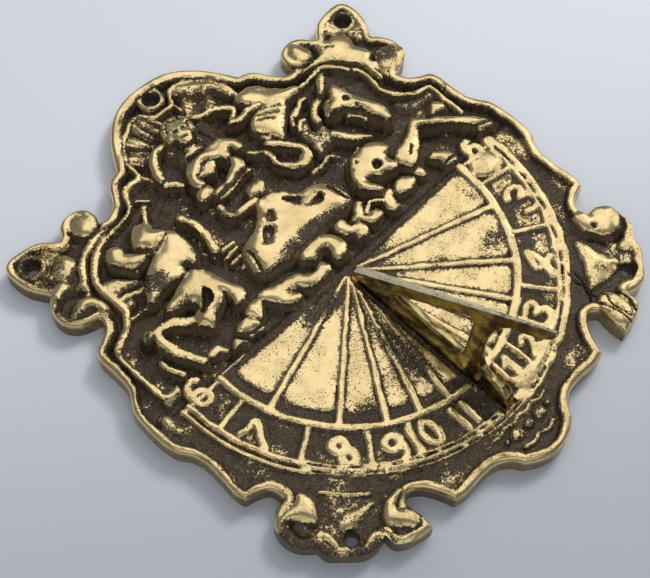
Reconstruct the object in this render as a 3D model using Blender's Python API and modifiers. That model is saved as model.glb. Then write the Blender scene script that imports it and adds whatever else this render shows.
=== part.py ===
"""Cast brass wall sundial: a relief plaque with a separate gnomon screwed on from behind.

Frame: the plaque lies on its back, +Z points out of its face and +Y is up as it hangs.
The origin is on the flat back, behind the centre of the dial.
"""
import math

import bmesh
import bpy
from mathutils import Matrix, Vector

MM = 0.001
MERGE_DISTANCE = 0.00001
OBJECT_NAME = "garden_sundial"

# Heights above the flat back, in millimetres
RIM_Z = 9.4
FIELD_Z = 5.0
SUNK_Z = 4.37
RIDGE_Z = 8.0
WEDGE_Z = 7.1
SEAT_Z = 7.4
EAR_POCKET_Z = 7.0
TONGUE_Z = 9.0
SCROLL_Z = 11.8
CLOUD_Z = 10.3
STUD_Z = 8.4
RIM_ROUND = 1.0
ROOT_OF_RELIEF_Z = FIELD_Z - 1.0
CUTTER_LOW_Z = -2.0
CUTTER_TOP_Z = 12.4

# Dial, in millimetres, measured from the dial centre at x = 0, y = 0
ROOT_Y = -2.0
HUB_R = 9.0
INNER_ARC_R = 74.8
BAND_INNER_R = 92.4
BAND_OUTER_R = 96.6
RING_WIDTH = 2.4
RIB_WIDTH = 2.2
NUMERAL_R = 83.6
HORIZON_Y = 0.6
ARC_STEP_DEG = 9.0
HOUR_ANGLES = (11.0, 21.5, 33.0, 48.4, 71.0)
BAR_ANGLES = (26.5, 40.0, 60.0, 80.0)

# Gnomon, in millimetres, in the noon plane x = 0
STYLE_ANGLE = math.radians(36.8)
STYLE_START = (-5.5, 13.6)
STYLE_LENGTH = 120.0
GNOMON_FOOT_THICK = 4.8
FOOT_START_Y = -4.6
FOOT_END_Y = -93.4
SEAT_WIDTH = 7.2
SEAT_LAND = 1.6
GNOMON_DRAFT = 0.045
GAP = 0.3

# Fixings, in millimetres
SCREW_Y = (-20.0, -71.0)
SHANK_R = 1.4
SHANK_TOP_Z = 14.0
HEAD_R = 3.6
HEAD_H = 1.9
WASHER_R = 5.0
WASHER_HOLE_R = 1.9
WASHER_H = 0.8
COUNTERBORE_R = 5.8
COUNTERBORE_DEPTH = 3.2

# Mounting holes through the lobe and the four ears, in millimetres
MOUNT_HOLES = ((0.0, 124.0), (95.5, 94.3), (-95.5, 94.3), (86.0, -85.8), (-86.0, -85.8))
MOUNT_HOLE_R = 2.9
MOUNT_MOUTH_R = 4.2
MOUNT_MOUTH_Z = 5.6
BOSS_R = 6.9
BOSS_TOP_R = 6.2
BOSS_DROP = 0.5


def clear_scene():
    for obj in list(bpy.data.objects):
        bpy.data.objects.remove(obj, do_unlink=True)


def make_collection(name):
    coll = bpy.data.collections.new(name)
    bpy.context.scene.collection.children.link(coll)
    return coll


def metal(name, colour, roughness):
    mat = bpy.data.materials.new(name)
    mat.use_nodes = True
    shader = mat.node_tree.nodes["Principled BSDF"]
    shader.inputs["Base Color"].default_value = (*colour, 1.0)
    shader.inputs["Roughness"].default_value = roughness
    shader.inputs["Metallic"].default_value = 1.0
    return mat


def smooth_loop(points, steps=2):
    """Closed outline through (x, y) points; a third value 'c' keeps a sharp corner."""
    count = len(points)
    loop = []
    for i in range(count):
        before, here, after, beyond = (points[(i + k) % count] for k in (-1, 0, 1, 2))
        p0, p1, p2, p3 = (Vector(p[:2]) for p in (before, here, after, beyond))
        span = (p2 - p1).length
        lead = (p2 - p0).normalized() * span if len(here) == 2 else p2 - p1
        trail = (p3 - p1).normalized() * span if len(after) == 2 else p2 - p1
        for k in range(steps):
            t = k / steps
            a = 2 * t**3 - 3 * t**2 + 1
            b = t**3 - 2 * t**2 + t
            c = 3 * t**2 - 2 * t**3
            d = t**3 - t**2
            loop.append(tuple(p1 * a + lead * b + p2 * c + trail * d))
    return loop


def mirrored(half):
    """Whole outline from its right half, which runs from the top centre to the bottom centre."""
    left = [(-p[0], *p[1:]) for p in reversed(half[1:-1])]
    return half + left


def arc_points(radius, start_deg, end_deg, step_deg=ARC_STEP_DEG):
    """Points on an arc about the dial centre; angles run from straight down, + towards +X."""
    count = max(2, round(abs(end_deg - start_deg) / step_deg) + 1)
    angles = (start_deg + (end_deg - start_deg) * i / (count - 1) for i in range(count))
    return [polar(radius, angle) for angle in angles]


def polar(radius, angle_deg, centre_y=0.0):
    angle = math.radians(angle_deg)
    return (radius * math.sin(angle), centre_y - radius * math.cos(angle))


def strip(points, width):
    """Outline of a ribbon of the given width along an open path."""
    left = []
    right = []
    path = [Vector(p) for p in points]
    for i, point in enumerate(path):
        ahead = path[min(i + 1, len(path) - 1)]
        behind = path[max(i - 1, 0)]
        direction = (ahead - behind).normalized()
        side = Vector((-direction.y, direction.x)) * (width / 2)
        left.append(tuple(point + side))
        right.append(tuple(point - side))
    return left + right[::-1]


def link_mesh(name, mesh, coll):
    obj = bpy.data.objects.new(name, mesh)
    coll.objects.link(obj)
    return obj


def mesh_from_curve(obj):
    """Evaluated mesh of a curve object, with its caps welded on; the curve is removed."""
    bpy.context.view_layer.update()
    graph = bpy.context.evaluated_depsgraph_get()
    mesh = bpy.data.meshes.new_from_object(obj.evaluated_get(graph))
    mesh.transform(obj.matrix_world)
    bpy.data.objects.remove(obj, do_unlink=True)
    work = bmesh.new()
    work.from_mesh(mesh)
    bmesh.ops.remove_doubles(work, verts=work.verts, dist=MERGE_DISTANCE)
    bmesh.ops.recalc_face_normals(work, faces=work.faces)
    work.to_mesh(mesh)
    work.free()
    return mesh


def prism(name, outline, low, high, coll, rounding=0.0):
    """Solid with a flat outline in XY, between two heights; all in millimetres."""
    curve = bpy.data.curves.new(name, "CURVE")
    curve.dimensions = "2D"
    curve.fill_mode = "BOTH"
    curve.extrude = ((high - low) / 2 - rounding) * MM
    curve.bevel_depth = rounding * MM
    curve.bevel_resolution = 0
    curve.offset = -rounding * MM
    spline = curve.splines.new("POLY")
    spline.points.add(len(outline) - 1)
    for point, (x, y) in zip(spline.points, outline):
        point.co = (x * MM, y * MM, 0.0, 1.0)
    spline.use_cyclic_u = True
    obj = bpy.data.objects.new(name, curve)
    obj.location.z = (low + high) / 2 * MM
    bpy.context.scene.collection.objects.link(obj)
    return link_mesh(name, mesh_from_curve(obj), coll)


def turned(name, centre, profile, coll, segments=16):
    """Solid of revolution about a vertical axis; profile is (radius, height) from top to bottom."""
    mesh = bpy.data.meshes.new(name)
    work = bmesh.new()
    verts = [work.verts.new((r * MM, 0.0, z * MM)) for r, z in profile]
    for a, b in zip(verts, verts[1:]):
        work.edges.new((a, b))
    work.to_mesh(mesh)
    work.free()
    obj = link_mesh(name, mesh, coll)
    obj.location = (centre[0] * MM, centre[1] * MM, 0.0)
    screw = obj.modifiers.new("Turn", "SCREW")
    screw.steps = segments
    screw.render_steps = segments
    screw.use_merge_vertices = True
    screw.merge_threshold = MERGE_DISTANCE
    return obj


def dome(name, centre, radii, top, coll, turn_deg=0.0, segments=10, rings=6):
    """Half ellipsoid swelling out of the casting, with its flat side inside the slab."""
    mesh = bpy.data.meshes.new(name)
    work = bmesh.new()
    bmesh.ops.create_uvsphere(work, u_segments=segments, v_segments=rings, radius=1.0)
    everything = work.verts[:] + work.edges[:] + work.faces[:]
    bmesh.ops.bisect_plane(work, geom=everything, plane_co=(0.0, 0.0, -0.05),
                           plane_no=(0.0, 0.0, 1.0), clear_inner=True)
    bmesh.ops.holes_fill(work, edges=work.edges)
    bmesh.ops.recalc_face_normals(work, faces=work.faces)
    sizes = (radii[0] * MM, radii[1] * MM, (top - SUNK_Z) * MM)
    place = Matrix.Translation((centre[0] * MM, centre[1] * MM, SUNK_Z * MM))
    turn = Matrix.Rotation(math.radians(turn_deg), 4, "Z")
    work.transform(place @ turn @ Matrix.Diagonal((*sizes, 1.0)))
    work.to_mesh(mesh)
    work.free()
    return link_mesh(name, mesh, coll)


def boolean(obj, name, operation, coll):
    cut = obj.modifiers.new(name, "BOOLEAN")
    cut.operation = operation
    cut.operand_type = "COLLECTION"
    cut.collection = coll
    cut.solver = "EXACT"


def merge_flats(obj):
    """Joins the many small faces that the unions leave inside one flat."""
    merge = obj.modifiers.new("Merge flats", "DECIMATE")
    merge.decimate_type = "DISSOLVE"
    merge.angle_limit = math.radians(1.0)


PLATE_HALF = [
    (0.0, 132.6), (6.0, 132.4), (12.5, 131.0), (19.0, 127.8), (25.0, 123.0), (30.0, 117.3),
    (34.0, 111.2), (37.6, 105.2, "c"), (42.0, 103.9), (45.6, 100.8), (48.6, 95.6), (52.4, 91.4),
    (57.0, 89.8), (60.4, 90.6, "c"), (59.0, 95.0), (60.4, 100.2), (64.6, 102.8), (70.0, 102.9),
    (74.2, 100.6), (77.0, 96.6), (79.2, 95.4, "c"), (82.4, 98.8), (87.0, 102.0), (94.0, 103.4),
    (100.6, 103.4), (104.2, 100.6), (105.0, 94.6), (103.8, 87.4), (100.6, 81.4),
    (98.8, 78.4, "c"), (102.0, 74.8), (104.3, 69.4), (104.0, 63.6), (100.6, 58.8), (95.6, 56.4),
    (91.2, 55.2, "c"), (93.0, 50.2), (97.6, 46.8), (102.2, 44.6), (104.1, 40.6), (104.2, 31.0),
    (105.0, 22.8), (107.6, 18.0), (110.2, 13.6), (111.4, 5.0), (111.5, -4.0), (110.0, -11.6),
    (106.6, -17.0), (105.0, -23.6), (105.2, -33.0), (105.7, -41.0), (104.6, -45.4, "c"),
    (99.0, -47.0), (94.4, -50.0), (93.4, -56.0, "c"), (98.6, -57.0), (103.8, -60.8),
    (105.6, -67.0), (104.0, -73.6), (98.6, -79.4, "c"), (98.2, -84.0), (93.4, -89.2),
    (87.4, -94.4), (82.0, -95.6), (76.4, -94.4, "c"), (76.2, -99.6), (72.0, -103.0),
    (66.0, -104.8), (60.6, -105.4, "c"), (60.0, -99.0), (61.2, -91.6, "c"), (57.0, -88.8),
    (52.4, -91.4), (48.8, -97.0), (46.0, -104.4, "c"), (40.0, -105.5), (30.0, -105.2),
    (22.8, -106.2), (17.6, -109.6), (14.6, -114.0, "c"), (8.0, -117.9), (0.0, -119.5),
]

FIELD_HALF = [
    (0.0, 128.4), (8.0, 127.6), (15.6, 124.6), (22.4, 119.4), (28.0, 112.8), (33.4, 104.2, "c"),
    (40.2, 99.8), (44.6, 94.0), (50.0, 88.0), (57.0, 84.9), (66.0, 84.2), (74.6, 80.6),
    (81.4, 74.2), (85.4, 66.0), (86.4, 56.8), (90.8, 48.4), (99.8, 42.4, "c"), (100.6, 30.0),
    (101.4, 20.6), (106.4, 12.6), (107.8, 3.0), (107.4, -7.0), (103.4, -15.4), (101.4, -24.0),
    (101.6, -40.8, "c"), (94.6, -44.4), (89.8, -51.0), (88.2, -61.0), (86.0, -72.0),
    (80.6, -79.6, "c"), (67.0, -83.6), (56.0, -84.6), (48.6, -89.6), (43.0, -100.4, "c"),
    (34.0, -101.4), (24.0, -101.2), (15.6, -105.8), (10.6, -111.6, "c"), (0.0, -115.2),
]

MOULDING = [
    (0.0, 119.6), (9.0, 121.8), (17.0, 120.0), (24.0, 114.6), (28.6, 107.4), (32.6, 97.4),
    (40.4, 96.0), (43.4, 90.4), (48.6, 84.4), (56.0, 80.6), (66.0, 80.4), (74.0, 76.6),
    (80.4, 69.6), (80.2, 56.0), (84.4, 47.4), (91.0, 41.8), (97.6, 38.8), (97.4, 24.0),
]

EAR_POCKET = [
    (76.6, 89.4), (82.0, 92.6), (87.0, 97.4), (93.4, 99.6), (98.8, 99.2), (100.8, 94.4),
    (99.4, 88.4), (95.4, 82.4), (91.0, 77.0), (88.8, 71.0), (85.0, 77.0), (80.6, 82.8),
]

TONGUE = [(76.0, 88.2, "c"), (83.4, 88.8), (88.2, 87.0, "c"), (87.0, 80.6), (86.4, 75.0, "c"), (80.6, 83.4)]

SCROLL_BALLS = (
    ((66.4, 95.8), (4.9, 6.6), 0.0), ((96.8, 64.0), (7.0, 6.0), 20.0),
    ((97.6, -64.6), (7.0, 6.4), -20.0), ((67.2, -95.4), (5.0, 7.8), 10.0),
)

# Rounded masses of the relief: (x, y), (half length, half width), turn in degrees, top height
FIGURE_MASSES = (
    ((0.0, 36.0), (13.0, 12.0), 0.0, 12.4), ((-14.0, 30.0), (12.0, 8.6), 20.0, 11.4),
    ((13.0, 30.0), (12.5, 8.6), -20.0, 11.6), ((-3.6, 97.4), (6.4, 8.6), 0.0, 15.0),
    ((-3.0, 77.6), (13.6, 8.6), 0.0, 13.6), ((-12.0, 67.0), (13.6, 3.4), 10.0, 11.6),
    ((1.0, 57.4), (12.0, 4.6), 0.0, 10.8), ((31.0, 82.4), (12.0, 9.4), 20.0, 12.6),
    ((37.0, 95.0), (7.0, 4.4), 0.0, 10.2), ((-49.6, 72.4), (7.6, 6.8), 0.0, 13.0),
    ((-64.0, 70.4), (3.6, 6.4), 20.0, 12.0), ((-52.6, 56.4), (18.0, 8.0), 32.0, 12.6),
    ((-50.8, 36.0), (12.0, 8.0), -40.0, 13.0), ((-66.0, 30.0), (16.0, 3.4), -26.0, 11.4),
    ((-75.0, 24.4), (13.0, 3.0), -68.0, 11.4), ((-32.6, 57.0), (11.0, 2.8), 82.0, 10.2),
    ((47.0, 31.6), (10.6, 8.6), 10.0, 12.6), ((66.0, 25.2), (11.6, 5.8), 22.0, 12.0),
    ((89.0, 19.8), (17.0, 3.2), -45.0, 11.8), ((66.8, 58.0), (17.0, 4.0), -66.0, 13.0),
    ((51.0, 52.0), (14.0, 3.6), -68.0, 12.0), ((56.0, 68.4), (8.0, 3.4), 30.0, 12.0),
    ((17.4, 62.0), (12.0, 2.6), -74.0, 10.6), ((29.0, 56.4), (9.0, 3.0), 64.0, 10.6),
    ((41.0, 62.0), (9.0, 5.0), 70.0, 10.6), ((-24.0, 94.6), (10.0, 2.8), 56.0, 11.0),
    ((20.0, 99.0), (9.6, 2.6), -34.0, 11.0), ((-74.0, 60.0), (7.0, 4.0), -30.0, 9.6),
)
CLOUD_MASSES = (
    (-67.0, 9.6, 4.6), (-50.0, 9.8, 4.6), (-41.6, 14.0, 4.6), (-33.0, 11.6, 5.4),
    (-23.0, 10.0, 6.0), (-13.0, 7.4, 5.4), (-2.6, 13.4, 8.4), (13.4, 14.2, 3.6),
    (17.4, 9.4, 3.8), (26.2, 12.0, 5.4), (37.4, 8.8, 3.4), (49.2, 11.0, 4.8),
    (59.4, 9.4, 3.8), (72.0, 9.2, 4.8), (85.4, 5.4, 4.0),
)
CARTOUCHE_STUDS = ((-13.0, -102.6), (-4.6, -104.6), (4.6, -104.6), (13.0, -102.6))

# Hour figures as pen strokes in millimetres about each figure's middle
NUMERAL_STROKES = {
    "0": (((-0.5, 4.7), (2.2, 2.2), (2.2, -2.2), (-0.5, -4.7)),
          ((0.5, 4.6), (-2.2, 2.2), (-2.2, -2.2), (0.5, -4.6))),
    "1": (((0.0, -4.8), (0.0, 4.8)),),
    "2": (((-2.4, 2.8), (0.0, 4.6), (2.2, 2.6), (-0.6, -1.2), (-2.4, -4.4), (2.8, -4.4)),),
    "3": (((-2.4, 4.2), (1.8, 4.2), (-0.2, 0.6)), ((-1.0, 0.9), (2.3, -1.4), (1.2, -4.3), (-2.6, -4.0))),
    "4": (((1.3, -4.8), (1.3, 4.8)), ((1.0, 4.4), (-2.8, -1.2), (3.2, -1.4))),
    "5": (((2.4, 4.4), (-1.8, 4.4), (-1.9, 0.2)), ((-2.2, 0.6), (1.6, 0.7), (2.4, -2.2), (0.4, -4.5), (-2.4, -4.1))),
    "6": (((1.8, 4.7), (-1.4, 2.2), (-2.2, -2.0), (0.4, -4.6)), ((-0.4, -4.3), (2.3, -2.2), (-2.0, -0.2))),
    "7": (((-2.8, 4.3), (2.3, 4.3), (0.4, 0.2), (-0.8, -4.8)),),
    "8": (((-0.6, -0.2), (2.0, 2.4), (-0.5, 4.8)), ((0.5, 0.4), (-2.0, 2.5), (0.5, 4.6)),
          ((-0.6, 0.6), (2.3, -2.3), (-0.5, -4.8)), ((0.6, 0.5), (-2.3, -2.3), (0.5, -4.6))),
    "9": (((-1.8, -4.7), (1.4, -2.2), (2.2, 2.0), (-0.4, 4.6)), ((0.4, 4.3), (-2.3, 2.2), (2.0, 0.2))),
}
HOUR_NUMERALS = (
    ("6", -91.0), ("7", -71.0), ("8", -48.4), ("9", -33.0), ("10", -21.5), ("11", -11.0),
    ("1", 11.0), ("2", 21.5), ("3", 33.0), ("4", 48.4), ("5", 71.0), ("6", 91.0),
)
STROKE_WIDTH = 1.6
DIGIT_PITCH = 5.6

GNOMON_UNDERSIDE = [
    (-102.0, 83.0), (-101.0, 79.6), (-98.2, 75.8), (-93.6, 71.4), (-88.6, 68.2), (-83.8, 65.0),
    (-79.6, 59.4), (-76.6, 51.8), (-74.9, 42.0), (-74.5, 33.0), (-75.4, 25.6), (-78.0, 20.6),
    (-81.8, 18.7), (-85.4, 19.4), (-88.6, 19.2), (-91.6, 16.2), (-93.2, 11.0),
]
WINDOW = [
    (-29.0, 22.2), (-29.0, 21.3), (-29.9, 20.8), (-64.4, 20.8), (-65.9, 21.3), (-66.5, 22.8),
    (-67.2, 49.4), (-66.9, 50.7), (-65.6, 50.8),
]


def plate_body(coll, helpers):
    """The slab with its raised rim, recessed field and ear pockets."""
    plate = prism("dial_plate", smooth_loop(mirrored(PLATE_HALF)), 0.0, RIM_Z, coll, RIM_ROUND)
    recess = make_collection("recess_cutters")
    helpers.append(recess)
    prism("field_cutter", smooth_loop(mirrored(FIELD_HALF)), FIELD_Z, CUTTER_TOP_Z, recess)
    for side in (1, -1):
        pocket = [(side * x, y) for x, y in smooth_loop(EAR_POCKET, 2)]
        prism("ear_cutter", pocket, EAR_POCKET_Z, CUTTER_TOP_Z, recess)
    boolean(plate, "Recesses", "DIFFERENCE", recess)
    return plate


def dial_face(coll):
    """Hour ribs, polished wedges, inner arc, outer double ring and the horizon line."""
    low = ROOT_OF_RELIEF_Z
    hub = [polar(HUB_R, angle, ROOT_Y) for angle in range(-100, 101, 20)]
    prism("hub", hub, low, RIDGE_Z - 0.25, coll)
    for radius, top in ((INNER_ARC_R, RIDGE_Z), (BAND_INNER_R, RIDGE_Z), (BAND_OUTER_R, RIDGE_Z - 0.1)):
        prism("ring", strip(arc_points(radius, -90.0, 90.0), RING_WIDTH), low, top, coll)
    horizon = [(-INNER_ARC_R - 1.0, HORIZON_Y), (BAND_OUTER_R + 1.0, HORIZON_Y)]
    prism("horizon_line", strip(horizon, 2.0), low, RIDGE_Z - 0.6, coll)
    for side in (1, -1):
        for angle in HOUR_ANGLES:
            rib = [polar(HUB_R - 1.0, side * angle, ROOT_Y), polar(INNER_ARC_R, side * angle)]
            prism("hour_rib", strip(rib, RIB_WIDTH), low, RIDGE_Z - 0.2 - angle * 0.001, coll)
        for angle in BAR_ANGLES:
            bar = [polar(INNER_ARC_R, side * angle), polar(BAND_INNER_R, side * angle)]
            prism("band_bar", strip(bar, RIB_WIDTH), low, RIDGE_Z - 0.3, coll)
        edges = (0.0, *HOUR_ANGLES, 90.0)
        for index, (inner, outer) in enumerate(zip(edges, edges[1:])):
            prism("wedge", wedge_outline(side, inner, outer), low, WEDGE_Z + 0.02 * index, coll)


def wedge_outline(side, inner, outer, gap=2.3, far_r=69.5):
    """Flat facet between two hour lines, set in from both by the same gap."""
    middle = (inner + outer) / 2
    half = math.radians(outer - inner) / 2
    apex = polar(gap / math.sin(half), side * middle, ROOT_Y)
    margin = math.degrees(gap / far_r)
    rim = arc_points(far_r, side * (inner + margin), side * (outer - margin))
    return [apex, *rim]


def numerals(coll):
    """Raised hour figures, upright as the plaque hangs."""
    for text, angle in HOUR_NUMERALS:
        x, y = polar(NUMERAL_R, angle)
        start = x - DIGIT_PITCH * (len(text) - 1) / 2
        for place, digit in enumerate(text):
            for order, stroke in enumerate(NUMERAL_STROKES[digit]):
                path = [(start + place * DIGIT_PITCH + px, y + py) for px, py in stroke]
                top = RIDGE_Z - 0.4 - 0.05 * order
                prism("numeral", strip(path, STROKE_WIDTH), ROOT_OF_RELIEF_Z, top, coll)


def relief(coll):
    """Moulding line, clouds, horses and figures as plain rounded masses."""
    for side in (1, -1):
        path = [(side * x, y) for x, y in MOULDING]
        prism("moulding", strip(path, RING_WIDTH), ROOT_OF_RELIEF_Z, RIDGE_Z - 0.15 * (1 + side), coll)
    for (x, y), (long, wide), turn, top in FIGURE_MASSES:
        dome("figure_mass", (x, y), (long, wide), top, coll, turn)
    for x, y, radius in CLOUD_MASSES:
        dome("cloud", (x, y), (radius, radius * 0.9), CLOUD_Z, coll, 0.0, 8)
    for x, y in CARTOUCHE_STUDS:
        dome("cartouche_stud", (x, y), (3.0, 3.0), STUD_Z, coll, 0.0, 8)


def ears(coll):
    for side in (1, -1):
        for (x, y), (long, wide), turn in SCROLL_BALLS:
            dome("scroll", (side * x, y), (long, wide), SCROLL_Z, coll, side * turn)
        tongue = [(side * x, y) for x, y in smooth_loop(TONGUE, 2)]
        prism("tongue", tongue, FIELD_Z, TONGUE_Z, coll)
    for x, y in MOUNT_HOLES:
        top = RIM_Z - BOSS_DROP
        profile = ((0.0, top), (BOSS_TOP_R, top - 0.1), (BOSS_R, top - 0.9), (BOSS_R, 3.0), (0.0, 3.0))
        turned("hole_boss", (x, y), profile, coll)


def gnomon_seat(coll):
    """Pad under the foot; the seat slot then cuts it and the ridges that cross it level."""
    pad = noon_box(SEAT_WIDTH / 2, FOOT_START_Y + SEAT_LAND, FOOT_END_Y - SEAT_LAND)
    prism("gnomon_seat", pad, ROOT_OF_RELIEF_Z, SEAT_Z + 0.15, coll)


def noon_box(half_width, top_y, bottom_y):
    return [(-half_width, top_y), (half_width, top_y), (half_width, bottom_y), (-half_width, bottom_y)]


def plate_holes(coll):
    slot = noon_box(GNOMON_FOOT_THICK / 2 + GAP, FOOT_START_Y + GAP, FOOT_END_Y - GAP)
    prism("seat_slot", slot, SEAT_Z, CUTTER_TOP_Z, coll)
    for x, y in MOUNT_HOLES:
        profile = ((0.0, CUTTER_TOP_Z), (MOUNT_MOUTH_R, CUTTER_TOP_Z), (MOUNT_MOUTH_R, RIM_Z - 0.6),
                   (MOUNT_HOLE_R, MOUNT_MOUTH_Z), (MOUNT_HOLE_R, CUTTER_LOW_Z), (0.0, CUTTER_LOW_Z))
        turned("mount_hole", (x, y), profile, coll)
    for y in SCREW_Y:
        hole_r = SHANK_R + GAP
        profile = ((0.0, CUTTER_TOP_Z), (hole_r, CUTTER_TOP_Z), (hole_r, COUNTERBORE_DEPTH),
                   (COUNTERBORE_R, COUNTERBORE_DEPTH), (COUNTERBORE_R, CUTTER_LOW_Z), (0.0, CUTTER_LOW_Z))
        turned("screw_hole", (0.0, y), profile, coll)


def make_plate(coll, helpers, material):
    plate = plate_body(coll, helpers)
    raised = make_collection("raised_shapes")
    cuts = make_collection("hole_cutters")
    helpers.extend((raised, cuts))
    dial_face(raised)
    numerals(raised)
    relief(raised)
    ears(raised)
    gnomon_seat(raised)
    plate_holes(cuts)
    boolean(plate, "Relief", "UNION", raised)
    boolean(plate, "Holes", "DIFFERENCE", cuts)
    merge_flats(plate)
    plate.data.materials.append(material)
    return plate


def gnomon_outline():
    """Side view of the gnomon as (y, z): style edge, tip, hooked strut, toe and foot."""
    foot_z = SEAT_Z + GAP
    tip = (STYLE_START[0] - STYLE_LENGTH * math.cos(STYLE_ANGLE),
           STYLE_START[1] + STYLE_LENGTH * math.sin(STYLE_ANGLE))
    curve = smooth_loop([(*GNOMON_UNDERSIDE[0], "c"), *GNOMON_UNDERSIDE[1:-1], (*GNOMON_UNDERSIDE[-1], "c")])
    under = curve[: 2 * (len(GNOMON_UNDERSIDE) - 1) + 1]
    return [(FOOT_START_Y, foot_z), STYLE_START, tip, *under, (FOOT_END_Y, foot_z)]


def make_gnomon(coll, helpers, material):
    """The outline lies in the noon plane; its sides draw in with height like any casting."""
    half = GNOMON_FOOT_THICK / 2
    gnomon = prism("gnomon", gnomon_outline(), -half, half, coll)
    stand_up(gnomon.data)
    for vert in gnomon.data.vertices:
        rise = vert.co.z / MM - SEAT_Z
        vert.co.x *= (GNOMON_FOOT_THICK - GNOMON_DRAFT * rise) / GNOMON_FOOT_THICK
    cutters = make_collection("gnomon_cutters")
    helpers.append(cutters)
    window = prism("window_cutter", WINDOW, -6.0, 6.0, cutters)
    stand_up(window.data)
    for y in SCREW_Y:
        hole_r = SHANK_R + GAP
        profile = ((0.0, SHANK_TOP_Z + GAP), (hole_r, SHANK_TOP_Z + GAP), (hole_r, 2.0), (0.0, 2.0))
        turned("tapped_hole", (0.0, y), profile, cutters, 16)
    boolean(gnomon, "Openings", "DIFFERENCE", cutters)
    gnomon.data.materials.append(material)
    return gnomon


def stand_up(mesh):
    """Turn an outline drawn as (y, z) in the XY plane into the noon plane x = 0."""
    for vert in mesh.vertices:
        y, z, x = vert.co
        vert.co = (x, y, z)


def make_fixings(coll, material):
    for name, y in zip(("root", "toe"), SCREW_Y):
        washer_top = COUNTERBORE_DEPTH - GAP
        washer_low = washer_top - WASHER_H
        profile = ((WASHER_HOLE_R, washer_top), (WASHER_R, washer_top), (WASHER_R, washer_low),
                   (WASHER_HOLE_R, washer_low), (WASHER_HOLE_R, washer_top))
        washer = turned("gnomon_washer_" + name, (0.0, y), profile, coll)
        washer.data.materials.append(material)
        head_top = washer_low - GAP
        profile = ((0.0, SHANK_TOP_Z), (SHANK_R, SHANK_TOP_Z), (SHANK_R, head_top), (HEAD_R, head_top),
                   (HEAD_R, head_top - HEAD_H * 0.6), (HEAD_R * 0.7, head_top - HEAD_H),
                   (0.0, head_top - HEAD_H))
        screw = turned("gnomon_screw_" + name, (0.0, y), profile, coll)
        screw.data.materials.append(material)


def hide_helpers(collections):
    for coll in collections:
        for obj in coll.objects:
            obj.hide_render = True
            obj.display_type = "WIRE"


def main():
    clear_scene()
    parts = make_collection(OBJECT_NAME)
    helpers = []
    plate_brass = metal("cast_brass", (0.72, 0.52, 0.22), 0.28)
    gnomon_brass = metal("gnomon_brass", (0.36, 0.30, 0.12), 0.3)
    screw_brass = metal("screw_brass", (0.70, 0.55, 0.28), 0.35)
    make_plate(parts, helpers, plate_brass)
    make_gnomon(parts, helpers, gnomon_brass)
    make_fixings(parts, screw_brass)
    hide_helpers(helpers)


main()
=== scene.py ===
"""Looks of the cast brass wall sundial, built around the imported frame."""
import math

import bmesh
import bpy
import numpy as np
from mathutils import Matrix, Vector
from mathutils.geometry import delaunay_2d_cdt


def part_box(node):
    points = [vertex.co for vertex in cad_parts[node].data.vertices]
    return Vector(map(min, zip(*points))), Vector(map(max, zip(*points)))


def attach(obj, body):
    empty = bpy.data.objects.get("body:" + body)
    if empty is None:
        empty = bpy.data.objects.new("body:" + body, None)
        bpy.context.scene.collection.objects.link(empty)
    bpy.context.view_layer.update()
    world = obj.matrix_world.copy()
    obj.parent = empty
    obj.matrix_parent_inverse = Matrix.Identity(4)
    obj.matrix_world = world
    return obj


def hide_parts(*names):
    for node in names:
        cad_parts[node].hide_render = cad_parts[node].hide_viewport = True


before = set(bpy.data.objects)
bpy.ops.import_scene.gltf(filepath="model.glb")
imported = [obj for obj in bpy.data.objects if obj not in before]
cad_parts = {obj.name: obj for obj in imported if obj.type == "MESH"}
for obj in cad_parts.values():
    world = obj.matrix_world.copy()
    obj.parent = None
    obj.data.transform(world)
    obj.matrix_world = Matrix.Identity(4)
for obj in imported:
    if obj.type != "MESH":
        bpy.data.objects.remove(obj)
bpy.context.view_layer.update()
MM = 0.001

# Heights above the flat back, in millimetres
RIM_Z = 9.4
EDGE_Z = 7.6              # the rim's height at the very edge of the outline
RIM_RISE = 1.8            # from there to its top
BOSS_Z = 8.8
RIDGE_Z = 8.0
BAR_Z = 7.7
RIB_Z = 7.8
NUMERAL_Z = 7.7
END_LINE_Z = 7.5
SEAT_Z = 7.4
WEDGE_Z = 7.1
EAR_Z = 6.4
DIAL_Z = 6.2
FIELD_Z = 5.0
SUNK_Z = 4.4
FLANK_FOOT = 3.4          # where the side of a raised form would meet the ground

# How the forms are rounded and worn, in millimetres and as shares of full polish
FLANK_CURVE = 0.62        # 0.5 would be a quarter ellipse; more is gentler
MASS_BLEND = 0.8
LINE_BLEND = 0.5
LINE_CORE = 0.7           # share of a line's half width that stays flat
LINE_APRON = 0.85
LINE_WOBBLE = 0.22
CROWN = 0.65
EDGE_WEAR = 0.78          # polish left at the very edge of a raised face
EDGE_WEAR_WIDTH = 1.7
GROUND_POLISH = 0.12
FACET_POLISH = 0.87
RIM_FLAT = 3.2
RIM_EDGE = 1.7
RIM_SHOULDER = 1.9
RIM_EDGE_POLISH = 0.72
BOSS_R = 7.2
BOSS_FLAT_R = 5.6
BOSS_SHOULDER = 1.6
DRIVER = (-4.0, 92.0)     # the ripples of the ground run out from here
CRACK_DEPTH = 1.2
CRACK_HALF = 0.45
DULL_EAR_LOSS = 0.62      # share of the rim's polish lost at the lower left ear
PICTURE_WARP = 0.55
DIAL_WARP = 0.22
FLANK_PROBE = 0.4
LUMP_HEIGHT = 1.25

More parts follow.
